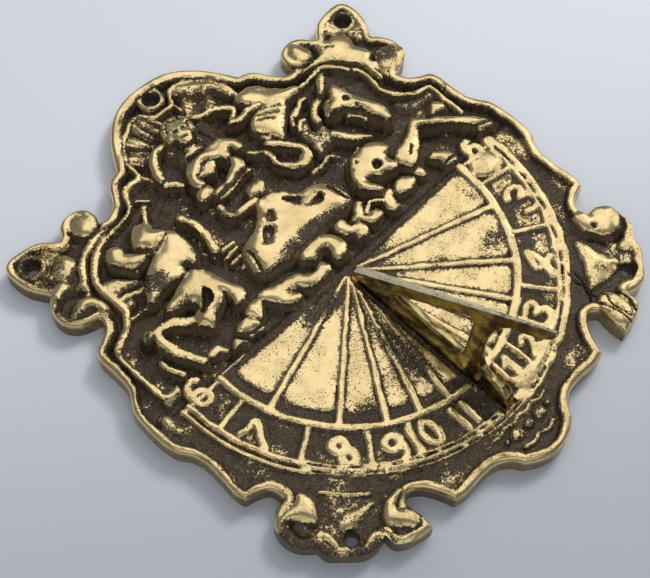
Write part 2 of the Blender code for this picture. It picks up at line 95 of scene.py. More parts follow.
# Dial, in millimetres and degrees about the dial centre
ROOT_Y = -2.0
RIB_START_R = 4.0
INNER_ARC_R = 74.4
BAND_INNER_R = 91.4
BAND_OUTER_R = 96.4
HOUR_ANGLES = (11.0, 21.5, 33.0, 48.4, 71.0)
FACET_EDGES = (0.0, *HOUR_ANGLES, 91.0)
FACET_END_R = {1: 71.0, -1: 68.0}
NEAR_GAP = 1.3
FAR_GAP = 2.5
FACET_CORNER = 1.6
FACET_SHOULDER = 0.7
RIB_HALF = 0.75
RIB_SPREAD = 1.0          # how much wider a rib is at the inner arc than at the hub
BAR_ANGLES = {1: (26.5, 38.5, 59.0, 80.0), -1: (27.0, 39.6, 57.6, 80.0)}
BAR_HALF = 1.1
# Arcs of the dial: radius, first and last angle, height, half width, polish
ARCS = (
    (73.8, 0, 90, 8.0, 1.9, 1.0), (74.6, -90, 0, 8.0, 1.35, 1.0),
    (93.9, 4, 90, 8.0, 3.3, 1.0), (92.3, -90, -46, 8.0, 1.0, 1.0),
    (95.9, -90, -56, 7.9, 0.7, 1.0), (93.4, -56, 4, 7.9, 2.9, 0.8),
)
# Thin broken grooves in the outer band: radius, first and last angle, seed
DASHES = ((93.3, 14.0, 88.0, 15), (92.2, -56.0, -4.0, 41), (94.9, -56.0, 20.0, 42))
DASH_DEPTH = 0.9

# Gnomon and fixings, in millimetres
STYLE_ANGLE = math.radians(36.8)
STYLE_START = (-5.5, 13.6)
STYLE_LENGTH = 120.0
FOOT_THICK = 4.8
FOOT_START_Y = -4.6
FOOT_END_Y = -93.4
FOOT_GAP = 0.05           # keeps the foot's underside clear of the seat
TOE = (-88.0, 15.0)
SEAT_HALF = 2.7
DRAFT = 0.045
SCREW_Y = (-20.0, -71.0)
SCREW_HOLE_R = 1.7
COUNTERBORE_R = 5.8
COUNTERBORE_DEPTH = 3.2
MOUNT_HOLES = ((0.0, 124.0), (95.5, 94.3), (-95.5, 94.3), (86.0, -85.8), (-86.0, -85.8))
MOUNT_HOLE_R = 2.9
MOUNT_MOUTH_R = 4.2
MOUNT_MOUTH_Z = 5.6
MOUTH_SLOPE = 2.3

# Mesh: spacing in millimetres, points around the holes, rows of the walls
OUTLINE_STEP = 0.8
OUTLINE_REACH = 7.0
GRID_PITCH = 0.5
COARSE_EVERY = 3
CELL = 0.42               # no two loose points share a cell of this size
TOP_POINTS = 92000
MOUNT_SIDES = 40
SCREW_SIDES = 24
HOLE_CLEAR = 0.25
EDGE_CLEAR = 0.5
RIM_ROWS = (0.6, 1.2, 1.8, 2.6, 3.3, 4.0, 4.6)
MOUTH_RINGS = (3.5, 4.2, 5.0, 5.8, 6.6, 7.3)
WALL_HEIGHTS = (5.6, 2.8, 0.6, 0.0)
HOLE_HEIGHTS = (2.8, 0.0)
WALL_POLISH = 0.68
DULL_WALL_LOSS = 0.26
HOLE_POLISH = 0.3
GNOMON_ROWS = (0.12, 0.35, 0.75, 1.2)

# Colours
WHITE = (1.0, 1.0, 1.0)
WARM_WHITE = (1.0, 0.99, 0.97)
COOL_WHITE = (0.97, 0.98, 1.0)
SURROUND = (0.20, 0.225, 0.245, 1.0)
# painted light falloff on the floor, from its shaded end to its lit end
PAPER_SHADED_END = (0.59, 0.60, 0.655, 1.0)
PAPER_LIT_END = (0.91, 0.925, 0.985, 1.0)
BRASS = (0.875, 0.66, 0.335, 1.0)
BRASS_DEEP = (0.70, 0.52, 0.25, 1.0)
# painted shade: the darker brass that steep faces take
BRASS_STEEP_SHADE = (0.34, 0.245, 0.105, 1.0)
TARNISH_DARK = (0.046, 0.032, 0.021, 1.0)
TARNISH_BROWN = (0.215, 0.15, 0.092, 1.0)
# painted bounce light: the paler tarnish on the flanks of the forms and on the walls
TARNISH_FLANK_PAINTED_BOUNCE = (0.31, 0.232, 0.135, 1.0)
GNOMON_SIDE = (0.60, 0.48, 0.19, 1.0)
GNOMON_STAIN = (0.13, 0.08, 0.035, 1.0)
# painted reflection: the pale colour of the style edge
GNOMON_STYLE_PAINTED_SHEEN = (0.95, 0.83, 0.58, 1.0)
FIXING_BRIGHT = (0.66, 0.48, 0.2, 1.0)
FIXING_FILM = (0.26, 0.17, 0.07, 1.0)

# Camera: angles, lens in millimetres, distance in metres, point it looks at in millimetres
AZIMUTH, ELEVATION, ROLL = (math.radians(a) for a in (-48.909, 60.76, 3.583))
LENS_MM = 80.9
CAMERA_DISTANCE = 0.62147
LOOK_AT = (-14.21, -1.23, RIDGE_Z)
# Lights: direction, distance and size in metres, power in watts and colour. The key only throws
# the shadows; the broad dim card is what the brass mirrors in its place.
LIGHTS = {
    "softbox": ((0.40, 0.34, 0.873), 1.25, (0.95, 0.95), 2.7, WHITE),
    "key": ((0.72, 0.10, 0.69), 1.5, (0.42, 0.42), 9.0, WARM_WHITE),
    "card": ((0.86, -0.04, 0.51), 1.25, (0.8, 0.95), 2.4, WARM_WHITE),
    "fill": ((-0.47, -0.36, 0.81), 1.5, (1.6, 1.6), 4.2, COOL_WHITE),
}
FLOOR_REACH = 3.0

# Outlines were read as seen from the camera at ridge height; a form that stands one millimetre
# higher is seen this much too far towards +X and +Y, so it is put back by as much.
SIGHT_LEAN = np.array((0.422, 0.368))


def read(text):
    """Points in millimetres from 'x,y' pairs; a pair that ends in ',c' is a sharp corner."""
    return [tuple(v if v == "c" else float(v) for v in pair.split(",")) for pair in text.split()]


def read_spots(text):
    """Rows of numbers, one row to each ';'."""
    return [tuple(float(v) for v in row.split()) for row in text.split(";")]


def read_forms(text):
    """Rows of (kind, height, size, level, points); a row runs on where a line starts with a space."""
    forms = []
    for row in text.strip().replace("\n ", " ").split("\n"):
        if not row.startswith("#"):
            kind, top, size, level, points = row.split(" ", 4)
            forms.append((kind, float(top), float(size), float(level), read(points)))
    return forms


# Half outlines of the plaque and of its sunk field, mirrored in the middle line
PLATE_HALF = """
0,132.6 6,132.4 12.5,131 19,127.8 25,123 30,117.3 34,111.2 37.6,105.2,c 42,103.9 45.6,100.8
48.6,95.6 52.4,91.4 57,89.8 60.4,90.6,c 59,95 60.4,100.2 64.6,102.8 70,102.9 74.2,100.6 77,96.6
79.2,95.4,c 82.4,98.8 87,102 94,103.4 100.6,103.4 104.2,100.6 105,94.6 103.8,87.4 100.6,81.4
98.8,78.4,c 102,74.8 104.3,69.4 104,63.6 100.6,58.8 95.6,56.4 91.2,55.2,c 93,50.2 97.6,46.8
102.2,44.6 104.1,40.6 104.2,31 105,22.8 107.6,18 110.2,13.6 111.4,5 111.5,-4 110,-11.6 106.6,-17
105,-23.6 105.2,-33 105.7,-41 104.6,-45.4,c 99,-47 94.4,-50 93.4,-56,c 98.6,-57 103.8,-60.8
105.6,-67 104,-73.6 98.6,-79.4,c 98.2,-84 93.4,-89.2 87.4,-94.4 82,-95.6 76.4,-94.4,c 76.2,-99.6
72,-103 66,-104.8 60.6,-105.4,c 60,-99 61.2,-91.6,c 57,-88.8 52.4,-91.4 48.8,-97 46,-104.4,c
40,-105.5 30,-105.2 22.8,-106.2 17.6,-109.6 14.6,-114,c 8,-117.9 0,-119.5
"""
FIELD_HALF = """
0,128.4 8,127.6 15.6,124.6 22.4,119.4 28,112.8 33.4,104.2,c 40.2,99.8 44.6,94 50,88 57,84.9 66,84.2
74.6,80.6 81.4,74.2 85.4,66 86.4,56.8 90.8,48.4 99.8,42.4,c 100.6,30 101.4,20.6 106.4,12.6 107.8,3
107.4,-7 103.4,-15.4 101.4,-24 101.6,-40.8,c 94.6,-44.4 89.8,-51 88.2,-61 86,-72 80.6,-79.6,c
67,-83.6 56,-84.6 48.6,-89.6 43,-100.4,c 34,-101.4 24,-101.2 15.6,-105.8 10.6,-111.6,c 0,-115.2
"""

# Raised and sunk forms of the picture: kind, height of its face, then
#   mass: width of the rounded shoulder, polish, outline of the polished face
#   line: half width, polish, middle line
#   pit: depth, edge width, outline        groove: depth, half width, middle line
#   ball: polish, turn in degrees, centre and radii
PICTURE = read_forms("""
# Inner moulding
line 8.4 1 1 -97,10 -97,24 -97,36 -95.6,39.6 -92,42 -86,45 -82,50 -80,58 -81,68 -78,74 -70,81
 -62,83.4 -53,84.4 -46,87 -43.5,91 -41.5,95.2 -38,95.8 -33,96 -31.5,100 -31,105 -28,110.5 -24,115
 -19,118.5 -14,120.8 -10,121.3 -8,119 -6.5,116.5 -5,115.5 0,115 4,115.3 7,118 9.5,121.5 13,122.3
 18,121.5 23,118 27,113 29.5,107 30.8,101 31,98 36,97 39.5,95.5 41.5,91 43.5,88 47,84 51,82 56,81
 63,82 70,82.4 75,77 79,71.5 81,68 80.3,60 80.2,54 82,49 86,44.5 91,41.5 96.5,40 97.5,37 97,31 97,20
line 8.3 1.7 0.95 -95.4,38.8 -91.6,41.4 -86,44.4 -82,49.4 -80.4,57 -81.4,66.6 -78.4,73.2 -71.4,79.8
line 8.3 1.5 0.95 -45,88 -42.4,93 -39,95.4 -33.4,95.6
mass 8.2 1.2 0.8 12,121.4 18,120.6 22,117 26,112 28.6,106 29.8,100.6 28,100 27,104 25,108.5 22.5,111
 20,110.4 18.5,113.4 15.5,113 14,116.4 11,117 9.6,119.6
mass 6.6 1 0.62 -24,114 -21,116.4 -19,112 -18,106 -20.4,106.6 -22.6,110.4
mass 6.6 1 0.6 -18,117.6 -15,119.4 -14,113 -13.4,107.6 -15.4,107.8 -17,112.4
mass 6.6 1 0.6 -12.4,119 -10,118.4 -8.8,112.6 -8.6,108.4 -10.6,108 -12,112.4
line 7.8 0.6 0.95 -15.4,119.4 -14.2,113.4 -13.8,110.6
line 7.8 0.6 0.95 -8,117.6 -6.4,112.4 -5.6,110.4
line 7.8 0.6 0.95 5.6,116.6 5.6,110
line 7.8 0.6 0.95 -24,113.4 -21.6,109.6
mass 6.6 1 0.55 -30,104 -28,108 -25,104.6 -23.8,100.4 -26,100 -28.4,101.6
line 7.6 0.6 0.9 -29.4,105 -26.6,100
line 7.6 0.5 0.9 -31.5,96 -29,91
line 7.6 0.5 0.9 -41,88 -37,84.5
# Left horse: chest, foreleg, neck, cheek, ear and muzzle
mass 12 2.2 1 -68,37.5 -60,41.3 -54,44.5 -48.7,46 -45.8,43.5 -43,38 -40.8,31 -38.8,25.5 -39.4,21.8
 -41.8,19.6 -45.3,20 -44,23.5 -43.8,26.5 -45,29.3 -48,26 -52.5,24 -56.5,22.3 -59.8,18.9 -61.4,21
 -62.8,24.5 -60.5,28.5 -57.5,29.5 -57,33 -60,35.8
pit 12 4 1.2 -58.5,27.5 -56.5,29 -54,31.5 -51.5,34.5 -49.8,34.8 -49.8,31 -51.5,28.5 -55,27.8
line 11.8 2.3 1 -60,25 -66,29.5 -72,33.2 -77.5,34 -79,30 -78.5,23 -76.5,16.5 -73.5,11
ball 12.4 0.55 40 -81,35 4.6,4
mass 12.6 2.2 1 -42,67.3 -40.2,62 -40.2,55 -41.8,49.6 -43.6,47 -45.4,50.2 -47.6,51 -50,49.3 -51,47.2
 -58,47.6 -65,47.5 -69.5,45.5 -68,49.5 -62,56 -55,61 -48.5,64
mass 14 2.6 1 -56.3,71.5 -54.5,74 -51.5,77.3 -49.2,78 -46.5,76.5 -45,75 -45.5,72 -44,69.5 -42.5,67.5
 -44.5,66 -48,65 -51.5,64.3 -54,66.5 -56,69
line 14 1.2 0.9 -45,76.6 -42.6,79.4 -40.3,82.3
mass 12.6 2 1 -69,72.6 -67.6,75.6 -65,76.4 -62.6,74.4 -63.2,71.4 -61.5,69 -59.6,67 -57.8,65.6
 -57.2,63.8 -60.6,62.6 -64,62.8 -66.4,66.2 -68.4,69.8
line 11.4 0.6 0.9 -64.5,61 -60,63.5 -55,64 -50,64 -45,65.5
mass 8 1.4 0.75 -80,66 -78,66.5 -74,64.5 -70,60.5 -68,58 -72,58 -76,59 -80,60
line 8 1.2 0.8 -80,56.5 -69,53.5
line 7.6 0.7 0.8 -84,45.5 -74,45
mass 7.6 1 0.6 -80,53 -77,54 -75,51.4 -77,49.6 -80,50.4
line 10.5 2 0.95 -33.5,68 -31.5,63 -31,56 -32,50 -33.5,46
line 8.4 0.8 0.9 -36,44 -26,42.5
line 8.2 0.7 0.9 -34,39.8 -26.5,40.3
line 8 0.7 0.9 -33,35.5 -28,36.3
line 8 0.6 0.8 -32,31 -29,32
line 9 1.2 0.8 -87,22 -86,16 -83.5,12
mass 7.6 1.2 0.8 -98.5,6 -97,10.5 -94,10 -91,10 -89.5,9.8 -91.5,6 -95,5.5
# Driver: robe, arms, cape, lap, rail and reins
mass 8.6 2.2 0.2 -15,98.6 -9,97 -3,91 3,96 8,100 9.6,94 8,87 6,84 -12,84 -13,91
groove 8.6 1 0.5 -9,95 -10,86
groove 8.6 1 0.5 -5.4,92.6 -5.8,86.4
groove 8.6 1 0.5 -0.6,93 -0.6,86.6
groove 8.6 1 0.5 3.6,96 4,86.6
mass 10.6 1.4 1 -27.5,87.5 -26.5,86.5 -24.6,87.5 -22.8,92 -21.2,96 -18.2,98.9 -13.5,100.4
 -12.5,101.8 -18,101.8 -21.4,100 -24.4,96.5 -26.4,93
line 9.6 1.3 0.8 -26.6,84.8 -23.5,82.6 -21,80
line 11 1.2 0.95 7,103 12,101 18,99.2 22,96.8 23.4,94.2 22.2,92 18.5,90
mass 11 2 1 28.5,97 34,97.8 39.5,96 42.4,91 47,86 53,81.4 43.6,80.4 40,77.4 36,73.6 31,69 28.5,66
 27,68.6 24.6,72.9 22.4,80 26,83.5 33,85.7 33,88.6 30.5,91 28.5,93.5
line 11.8 1.6 0.95 17.5,89 22,87.4 28,88.4 33.5,87.4
groove 11 0.8 0.4 27,80.6 33,76.6
groove 11 0.8 0.4 29,83 37,78
groove 11 0.7 0.35 32,84.6 40,80
line 10 0.8 0.9 22.2,72.6 23.4,74 24.9,73.2 25,71.2 23.6,70.2 22.3,71.4
mass 12.6 1.8 1 -17,74 -16,80 -14.5,83.5 -11,85 -3,86 4,85.5 9,84.5 12,81.5 12.8,77 10.5,75.5 8,79.5
 4,76 1,78 -3,80 -6,82 -9,80 -13,78 -13.2,74 -15,72.5
mass 11.8 1.2 1 -13.5,77.6 -9.5,75.5 -7,74 -3.5,77 -2.6,81 -6,80 -9.5,79
mass 12.2 1.6 1 -13.5,65.2 -13,67.5 -7,67.5 -2,69.6 2,72.6 4.6,75 6.5,72 6.8,69 5,67 -3,65.6
mass 12.2 1.5 1 -21.5,68 -19.5,71.5 -13.5,72 -13,69 -14.5,67.2 -19.5,66.8
line 10.2 0.7 0.9 -13.5,62.8 -6,62.6 1,64.8 6,64.8
line 10.2 1.3 0.6 -17.4,59.4 -18,55 -15.5,52.3
line 10.5 1.5 0.95 -13.5,52 -9,52 -3.5,51.4
mass 10.4 1.5 0.95 -4,54 -3,57.5 1.5,58.8 3.5,57.5 5,56.5 4,54 2.5,52.5 -2,54
line 10.8 1.3 0.95 12,71.5 16,68 18,64.6 17,58 20,54 26,50
line 10.8 1.5 0.95 21,69.6 25,65.4 29,61 31,56.4 29.6,51
mass 10.6 1.4 0.95 19,56 24,53 28.6,54.6 30.6,52 27,48.4 22,50 19,53
# Central cloud
mass 11.4 3 1 -27,24 -27.2,30 -25,34.5 -22.5,37.5 -19,38.5 -14,39.5 -10,43 -6,47 -3,49.3 2.5,49.3
 6,47 10,42 13.5,39.5 19,39.3 22.5,37.5 24.5,33 26,29 26,24.5 22,22 14,22.5 4,21.5 -5,22 -14,21.5
 -22,22
pit 11.4 2.6 1 -8,40 -6,38 -3.5,41 -3,43 -5,43.5
pit 11.4 2.6 1 4.5,43.5 5.5,43.8 8.5,41 11.5,38.5 9.5,38 8.5,36.5 6.5,39
pit 11.4 2 1 -16.5,32 -14.5,35 -12,37.5 -10,37.5 -8.5,35 -11,33 -13,31.3
pit 11.4 2.4 1 10.5,32.8 13.5,31 17.5,31 19,34.5 16,34 12.5,33.3
groove 11.4 1.2 0.9 -24,35 -27,21
groove 11.4 1.2 0.9 24,34 25.5,24
# Row of small clouds
mass 10 2 1 -36.3,16.2 -33,16.6 -29,14.8 -25,13.7 -24.8,10.5 -27,9.5 -25.5,7 -23.5,3.7 -28,3.6
 -31,6.5 -33.5,11
mass 10 2 1 -24.5,13.8 -21,14 -17.5,12.5 -15.5,9.5 -13,7.8 -10.5,7.2 -8,9 -5.6,9 -5.8,4 -12,3.4
 -19,4.5 -20.5,7.5 -24,9
mass 10.6 2.2 1 -10.5,16 -8,18 -3,18.8 2,19 5.5,17 7.5,14 8.3,10 7,7 4.5,5 1.5,5.3 1,8 2.2,10 2,13
 -0.5,14 -3.5,13.8 -6.5,12.5 -8,14
mass 10 1.6 1 11.5,17.5 14,18 16.7,17 16,12.5 18.5,12 20.5,11 20.8,7.5 18.5,5.3 15,6.5 15.5,9.5
 12,11 11.5,14
mass 10 1.6 1 19.5,14.5 23,17 26.5,19.5 28,18 26.3,15 24.8,12 28,11.5 30.5,10 30.8,7.5 28.5,6.5
 25.5,6.5 23.8,9 22.5,11.5
line 9.6 0.9 0.9 27,13 31,15 35,13.5 36.5,11
mass 9.8 1.6 1 38,13 41,14.5 42.5,14 41,11.5 40,9 39.5,6.5 37.5,4.2 35.5,6 35,9 36.5,11
mass 9.8 1.8 1 44.5,11.5 47,14 50,15 52,13.8 54.5,10.8 53,9 50.5,8 47.5,8.2
mass 9.6 1.5 1 57,13 60.5,13 61,10.5 60,8.5 58,9
mass 9.8 1.8 1 68,12.5 71.5,12.7 74.5,10.5 76.5,8 76.5,4.5 74,3.5 71,5 71,8.5 68.5,10.5
groove 9.8 1 0.6 70.6,6 77,6.2
mass 9.8 1.6 1 -71,10.3 -67.5,12 -65,11.3 -63.4,8 -63.3,6.5 -66.5,8.5
mass 9.2 1.2 0.9 -60.8,6 -59,8.2 -57.5,7.5 -56.8,5.3
mass 9.8 1.8 1 -54.3,9.8 -51,12 -47,12 -45.2,10.5 -45.3,7.5 -48,6.5 -51.5,7.5
mass 10 1.8 1 -45.8,14 -44,16 -40,16.5 -37.3,15 -38.5,12.5 -41,9.5 -42.8,8.5 -44,11
line 8.4 0.8 0.8 -51.5,5 -46,4.5
# Right horse: chest, foreleg, mane, neck, head and ear
line 8.6 1 0.45 32,25 36,33 41,37 49,38.5
mass 12 2.2 1 35,27 36,30 38.5,33.5 42,36 47,37 53,37 56.5,34.5 58,32 57,29.5 54,28.5 53.2,25 54,21
 52.5,19.8 49.5,20.8 45,21.5 43,24.5 38.5,25.5 39,21.5 39.8,17 38,18 36,21 34.5,23.5
pit 12 3.6 1.2 46,26 47.4,28 49.6,27.6 50,25.6 48.4,24.4 46.6,24.6
pit 12 1.4 0.6 40.6,33 41.8,34.2 42,33
mass 12.4 1.7 1 55.5,21.5 57.5,24.5 61,26.5 66,27.3 71,29.5 75,32 77,32.6 79,30.5 83,27.5 88,23.5
 93,19.5 97,15 101,9.5 98,9 94.5,13.5 90,18 85,22.5 80,26.3 76.5,27 73.5,26 70,22.5 66.5,19
 62.5,16.2 58.5,15.3 56.5,18.5
mass 11 1 0.95 94,7.5 98,9 102,7 101,5.2 96,5.4
groove 12.4 1.2 0.7 62.5,20.5 66,23.5
line 11 1.6 0.95 46.5,62 48,66 52,68.5 56,70
line 10.4 1.1 0.9 36.5,68 40,72.5 44.5,73.5
line 10.4 1.1 0.9 41,71 45,73 48,75.5 50.5,75
line 10.4 1.1 0.9 37,64 40,67 42.5,67
mass 11 1.8 1 45,52.5 47,53.5 50,50 53,46 55.5,42 57,39 55,40 51.5,43 48.5,46 47,48
mass 9.5 1.8 0.7 34.5,48.5 36,54 35.5,60 36.5,64 38.5,66 41.5,66.5 41,63 39,60.5 40,58.5 44,58
 45.5,58 45.5,53 44,50.5 40,50 37,50
mass 14 2.6 1 60.5,67.5 62,69.5 64,70.8 65.5,69 66,64 66.5,61 68.5,58 70,54 71.5,50 72.3,46
 71.8,42.5 70.2,40 69.5,42 68.5,44.5 67.5,46.5 67,50 66,52.5 63,56 60,59.5 57.5,60 56,60.5 54.5,61.5
 56,63.8 59,65
mass 12 1.3 0.95 51.5,60 53,63.5 55.4,66.6 58.4,66.4 60,63.6 56.8,61.4 54.6,60.2
line 10.6 0.9 0.8 58,54.6 61,51.4 63,47.4
pit 14 1.6 0.6 64.2,55.4 65,57 66,56.4 65.6,55
pit 14 1.6 0.6 62.4,60.6 63.6,63 64.8,61
mass 14.6 1.6 0.9 57.5,71.5 60,75.5 63,78.5 66.5,78.5 62.5,74.5 59,71.5
line 8.4 1 0.7 25,44 31,43.5 36,45 38.5,42
mass 7 2 0.55 79,44 82,41 88,38.5 93,38 95,36 90,36 84,36.5 80,39
mass 11 2.2 0.9 86.5,28.3 91.5,32 93.5,29.5 92,26.5 90,27.5
""")

# Driver's head, a plain face of our own, in millimetres about its centre
HEAD_CENTRE = (-5.0, 98.4)
HEAD_TILT = math.radians(9.0)
HEAD = read_forms("""
mass 11.4 1.4 0.95 -2.2,-4 2.2,-4 2.3,-8.4 4.4,-11.2 -4.4,-11.2 -2.3,-8.4
mass 13.8 1.8 0.9 -6,-2.8 -6.9,-0.4 -6.8,3.6 -4.8,7.2 -0.6,8.8 3.8,8 6.6,5 6.9,0.6 6,-2.4 3.6,-1.8
 0,-1 -3.6,-1.8
groove 13.8 0.9 0.5 -7,0.6 -5.6,1.6 -5,3.6
groove 13.8 0.9 0.5 -5.8,5.8 -4.4,4.8 -3,6.8
groove 13.8 0.9 0.5 -1.6,8.8 -1.2,7 1.2,6.4
groove 13.8 0.9 0.5 3.6,8 3,6.2 5,5.4
groove 13.8 0.9 0.5 7.2,3 5.4,3 5,0.6
mass 14.4 1 1 -4.2,0 -4,2.6 -2.6,4.4 0,5 2.6,4.4 4,2.6 4.2,0 3.8,-3 2.2,-6.2 0,-7.2 -2.2,-6.2
 -3.8,-3
pit 14.4 0.9 0.7 -3.3,0.9 -2,1.6 -0.9,0.8 -2,0.1
pit 14.4 0.9 0.7 0.9,0.8 2,1.6 3.3,0.9 2,0.1
line 15.3 0.55 1 0,2 0,0.4 0,-1.4
groove 14.4 0.8 0.42 -1.6,-3.5 0,-3.8 1.6,-3.5
""")

# Forms drawn on the right and mirrored on the left: upper ears and ends of the cartouche
MIRRORED_FORMS = read_forms("""
line 8.9 1.6 1 57,87.5 66,86.3 75.5,82.6 83,75.4 87.4,66.6 88.6,57
mass 9.4 2.2 1 62,92.6 62.8,97.6 65.6,100.4 69.4,99.2 71,95.4 70.4,91 67.2,88.8 63.6,89.4
groove 9.4 1.2 0.7 59.8,92 61.8,88.6 65,87.2 69.4,87.6 72.6,90.6 73.4,95
mass 7.8 0.8 0.95 4.4,-103 7.2,-100.8 10,-103 7.2,-105.2
ball 8.4 0.9 0 12.6,-102.6 1.5,1.5
""")
# Other forms off the picture; first the two upper ears, the lower right and the lower left
OTHER_FORMS = read_forms("""
mass 9 1.4 0.94 70.5,85.2 74.6,88.6 76.8,94.6 79.6,92.4 82,90.4 85.5,90.6 88.5,88.4 90,84.5 89.4,80
 91.4,75 91.6,72 88.8,70 86.8,66.5 85.4,63 84.6,57.6 83.8,60 84.2,66 83.8,71 81.6,76 78.6,80.5
 74.5,83.4
groove 9 0.9 0.4 77.4,88.6 81,86.4
mass 8.6 1.2 0.85 84.2,95.2 86,97.6 89,99 91.7,98.6 90.6,94.6 91.2,91.4 87.5,91.2
mass 8.6 1.2 0.62 92.4,88.4 98.6,87.6 99,84.6 96.6,82.4 93.2,80.4 92,84
mass 9.4 1.8 0.9 88.6,60.4 89.2,64 92,65 97,64.4 102.4,64.6 103,61.4 97,57.8 91,57.8
mass 9.2 1.6 0.56 89.6,65 92.6,68.8 97,70 101.4,68 102.4,65 97,64.8 92,65.4
ball 9.6 1 42 -86.6,83.4 9.4,6.4
mass 8.8 1 1 -82.1,93.1 -78.8,93.7 -76,94.8 -76.7,91 -78.5,89.8 -80,90.6
mass 8.6 0.9 0.95 -89.2,72.1 -85.4,74 -84.8,72.7 -87,70.2
mass 8.2 0.8 0.9 -95.2,83.8 -93,85.8 -93.6,82.8
mass 9.4 1.4 1 -102.5,71 -100.8,74 -97.5,77.7 -93.8,79.5 -91.3,78.5 -90.2,75.4 -93.3,74.3 -97.5,74
 -100.4,72.7 -101.7,70.6
groove 9 1.3 0.9 -102,70 -98,71.8 -92.4,71.8 -87.8,68.4
mass 9.6 1.8 1 -100,62.2 -96.7,65.4 -92.5,67 -89,66 -86.8,63.5 -85.8,59.3 -86.3,55.2 -88.6,55.6
 -88.8,59.5 -89.6,62 -93.3,61.8 -96.7,62
mass 9.8 1.6 1 88.4,-54 87.8,-60 89.6,-66 93.6,-70 98,-70.8 102,-68.4 104,-64 103.6,-60.4 100,-57.8
 96,-57.8 93.4,-57.4 92.6,-54
pit 9.8 1.4 0.7 90.8,-61.6 92.2,-61.4 91.8,-63.6 90.9,-63.8
groove 9.6 1.8 1 87,-65 89.6,-70.6 94.6,-73.6 100.6,-72.6 104.2,-68
mass 9.2 1.2 1 92,-76.8 98,-75.8 103,-72.6 103.6,-74.6 99,-79.4 98.2,-82 96.4,-85 93.4,-81
mass 10 1.5 1 60.8,-97.5 61.6,-92 64,-88 67.6,-86.8 70.6,-89.6 71.6,-94.6 70.4,-99.6 67,-102.8
 63,-103.2 61,-101
groove 9.4 1.4 0.8 69.6,-86 73.4,-90.6 74.2,-96 72,-101.6
mass 9 1.2 1 74.8,-90.2 78,-89.2 82,-90.6 86,-94 85,-94.8 80.4,-93.4 76.8,-92.8
mass 9.6 1.4 1 -102.5,-62.4 -98.3,-60.8 -90.8,-60.2 -88.3,-58.4 -87.1,-61.2 -87.1,-65.3 -88.8,-70
 -91.3,-72 -93,-70 -95.8,-66.4 -99.2,-63.9
line 8.8 0.6 1 -101.7,-65.3 -102.5,-69.5 -100.8,-73.7 -97.5,-75.3
ball 9 0.2 0 -97.4,-69.6 4.2,5
mass 9.2 1.1 1 -98.3,-75.3 -93.3,-75.3 -92.1,-76.2 -92.1,-80.3 -93.3,-86 -94.2,-83.7 -94.6,-79.5
 -96.5,-76.8
mass 10.6 1.6 1 -72.3,-92.8 -70.8,-88.7 -66.7,-86.2 -62.5,-85.8 -58.6,-85.4 -58.6,-87 -63.3,-87.9
 -65.8,-89.5 -65,-92 -62.3,-95.3 -62.6,-99.5 -65,-101.2 -68.3,-98.4
ball 9 0.2 0 -71.2,-98.6 3.2,3.8
line 8.8 0.6 0.9 -76,-99.4 -72.4,-102.8 -67.4,-103.6 -64,-103.4
mass 9.2 1 1 -85.8,-92.8 -82.5,-90.8 -78,-90.8 -76.5,-92.8 -76.3,-98.7 -77.5,-96.2 -79.2,-93.7
 -82.5,-92.8
# Cartouche at the foot
ball 8.6 0.95 0 0,-103.2 2.8,2.4
line 7.6 0.7 0.7 -16,-98 -12,-99 -8,-97.8 -4,-99 0,-97.8 4,-99 8,-97.8 12,-99 16,-98
line 7.8 0.8 0.8 -8,-108.8 -4,-110 0,-108.8 4,-110 8,-108.8
# Triangles beside the lower ears, then small blocks around the dial
line 7.9 0.8 1 -81.7,-63.7 -75.4,-70.8 -68.3,-77.8
mass 7.2 1.4 0.72 -86.7,-81 -82.5,-76.4 -76.7,-78.6 -69.2,-81.2 -76.7,-83 -82.5,-84.6
mass 6.8 1.2 0.5 -81.6,-66 -79.6,-72 -75,-77 -69.4,-79.4 -73,-74.6 -77.6,-69.4
mass 7.9 1 0.86 80,-61.6 82.2,-63.7 83,-68.7 84.7,-75.3 86.6,-81 82.2,-82.6 77.2,-83.1 70.5,-82
 66.8,-81.2 69.3,-78.7 72.2,-74.5 75.5,-69.5 78,-64.5
mass 7.4 0.8 0.95 77.4,-2.4 90,-2.4 89.6,-12 78.4,-12
mass 6.8 1 0.7 -104.8,4.6 -101.4,4.6 -101,-1 -101.6,-6 -104.6,-5.6
mass 7.2 1 0.6 -84,-8 -80,-7.4 -79,-10 -82,-11.6 -85.4,-10.6
mass 7.8 1 0.9 10,-84 14,-85 20,-85.6 27,-85 33,-82.6 39.6,-79 40.4,-82 36,-86.5 28,-90 20,-92.6
 13,-93.4 10,-91.6
line 7.8 1.2 0.9 9.6,-68.4 9.8,-76 10,-84
line 7.8 1.1 0.9 21.4,-69 21.8,-77 22,-85
""")
# Hairline cracks in the lower right ear
CRACKS = (
    "65.5,-70 66,-76 65,-82 62.5,-86 64,-92 65.5,-98 66,-104",
    "69,-71 68,-76 66,-80 65.5,-84 68,-88 66,-92 67,-98 68,-102",
)

# Worn or tarnished spots, and on the upper left ear a spot of painted shade at (-92, 86): centre, radii
# and how much polish is lost
TARNISH_AND_PAINTED_SHADE = read_spots("""
0 22 27 5.5 0.75; -64 50 10 6 0.7; 57 -36 12 9 0.42; -44 -52 12 7 0.4; -92 86 13 13 0.45;
-98 66 9 8 0.35; -22 -7 18 6 0.62; -52 -1 30 3.5 0.5; -12 -44 8 26 0.5; 8 -20 8 12 0.4;
66 -12 3 10 0.35; 30 -26 8 6 0.3; -60 35 8 4 0.4; -72 -70 12 12 0.3; 18 -60 12 9 0.35;
-20 -52 16 14 0.25; 96 64 6 6 0.4; 17 110 10 10 0.25; 78 -77.5 5 4 0.38; 34 84 8 10 0.18;
-30 95 5 8 0.2; 40 58 6 8 0.3; 0 -104 22 8 0.3
""")
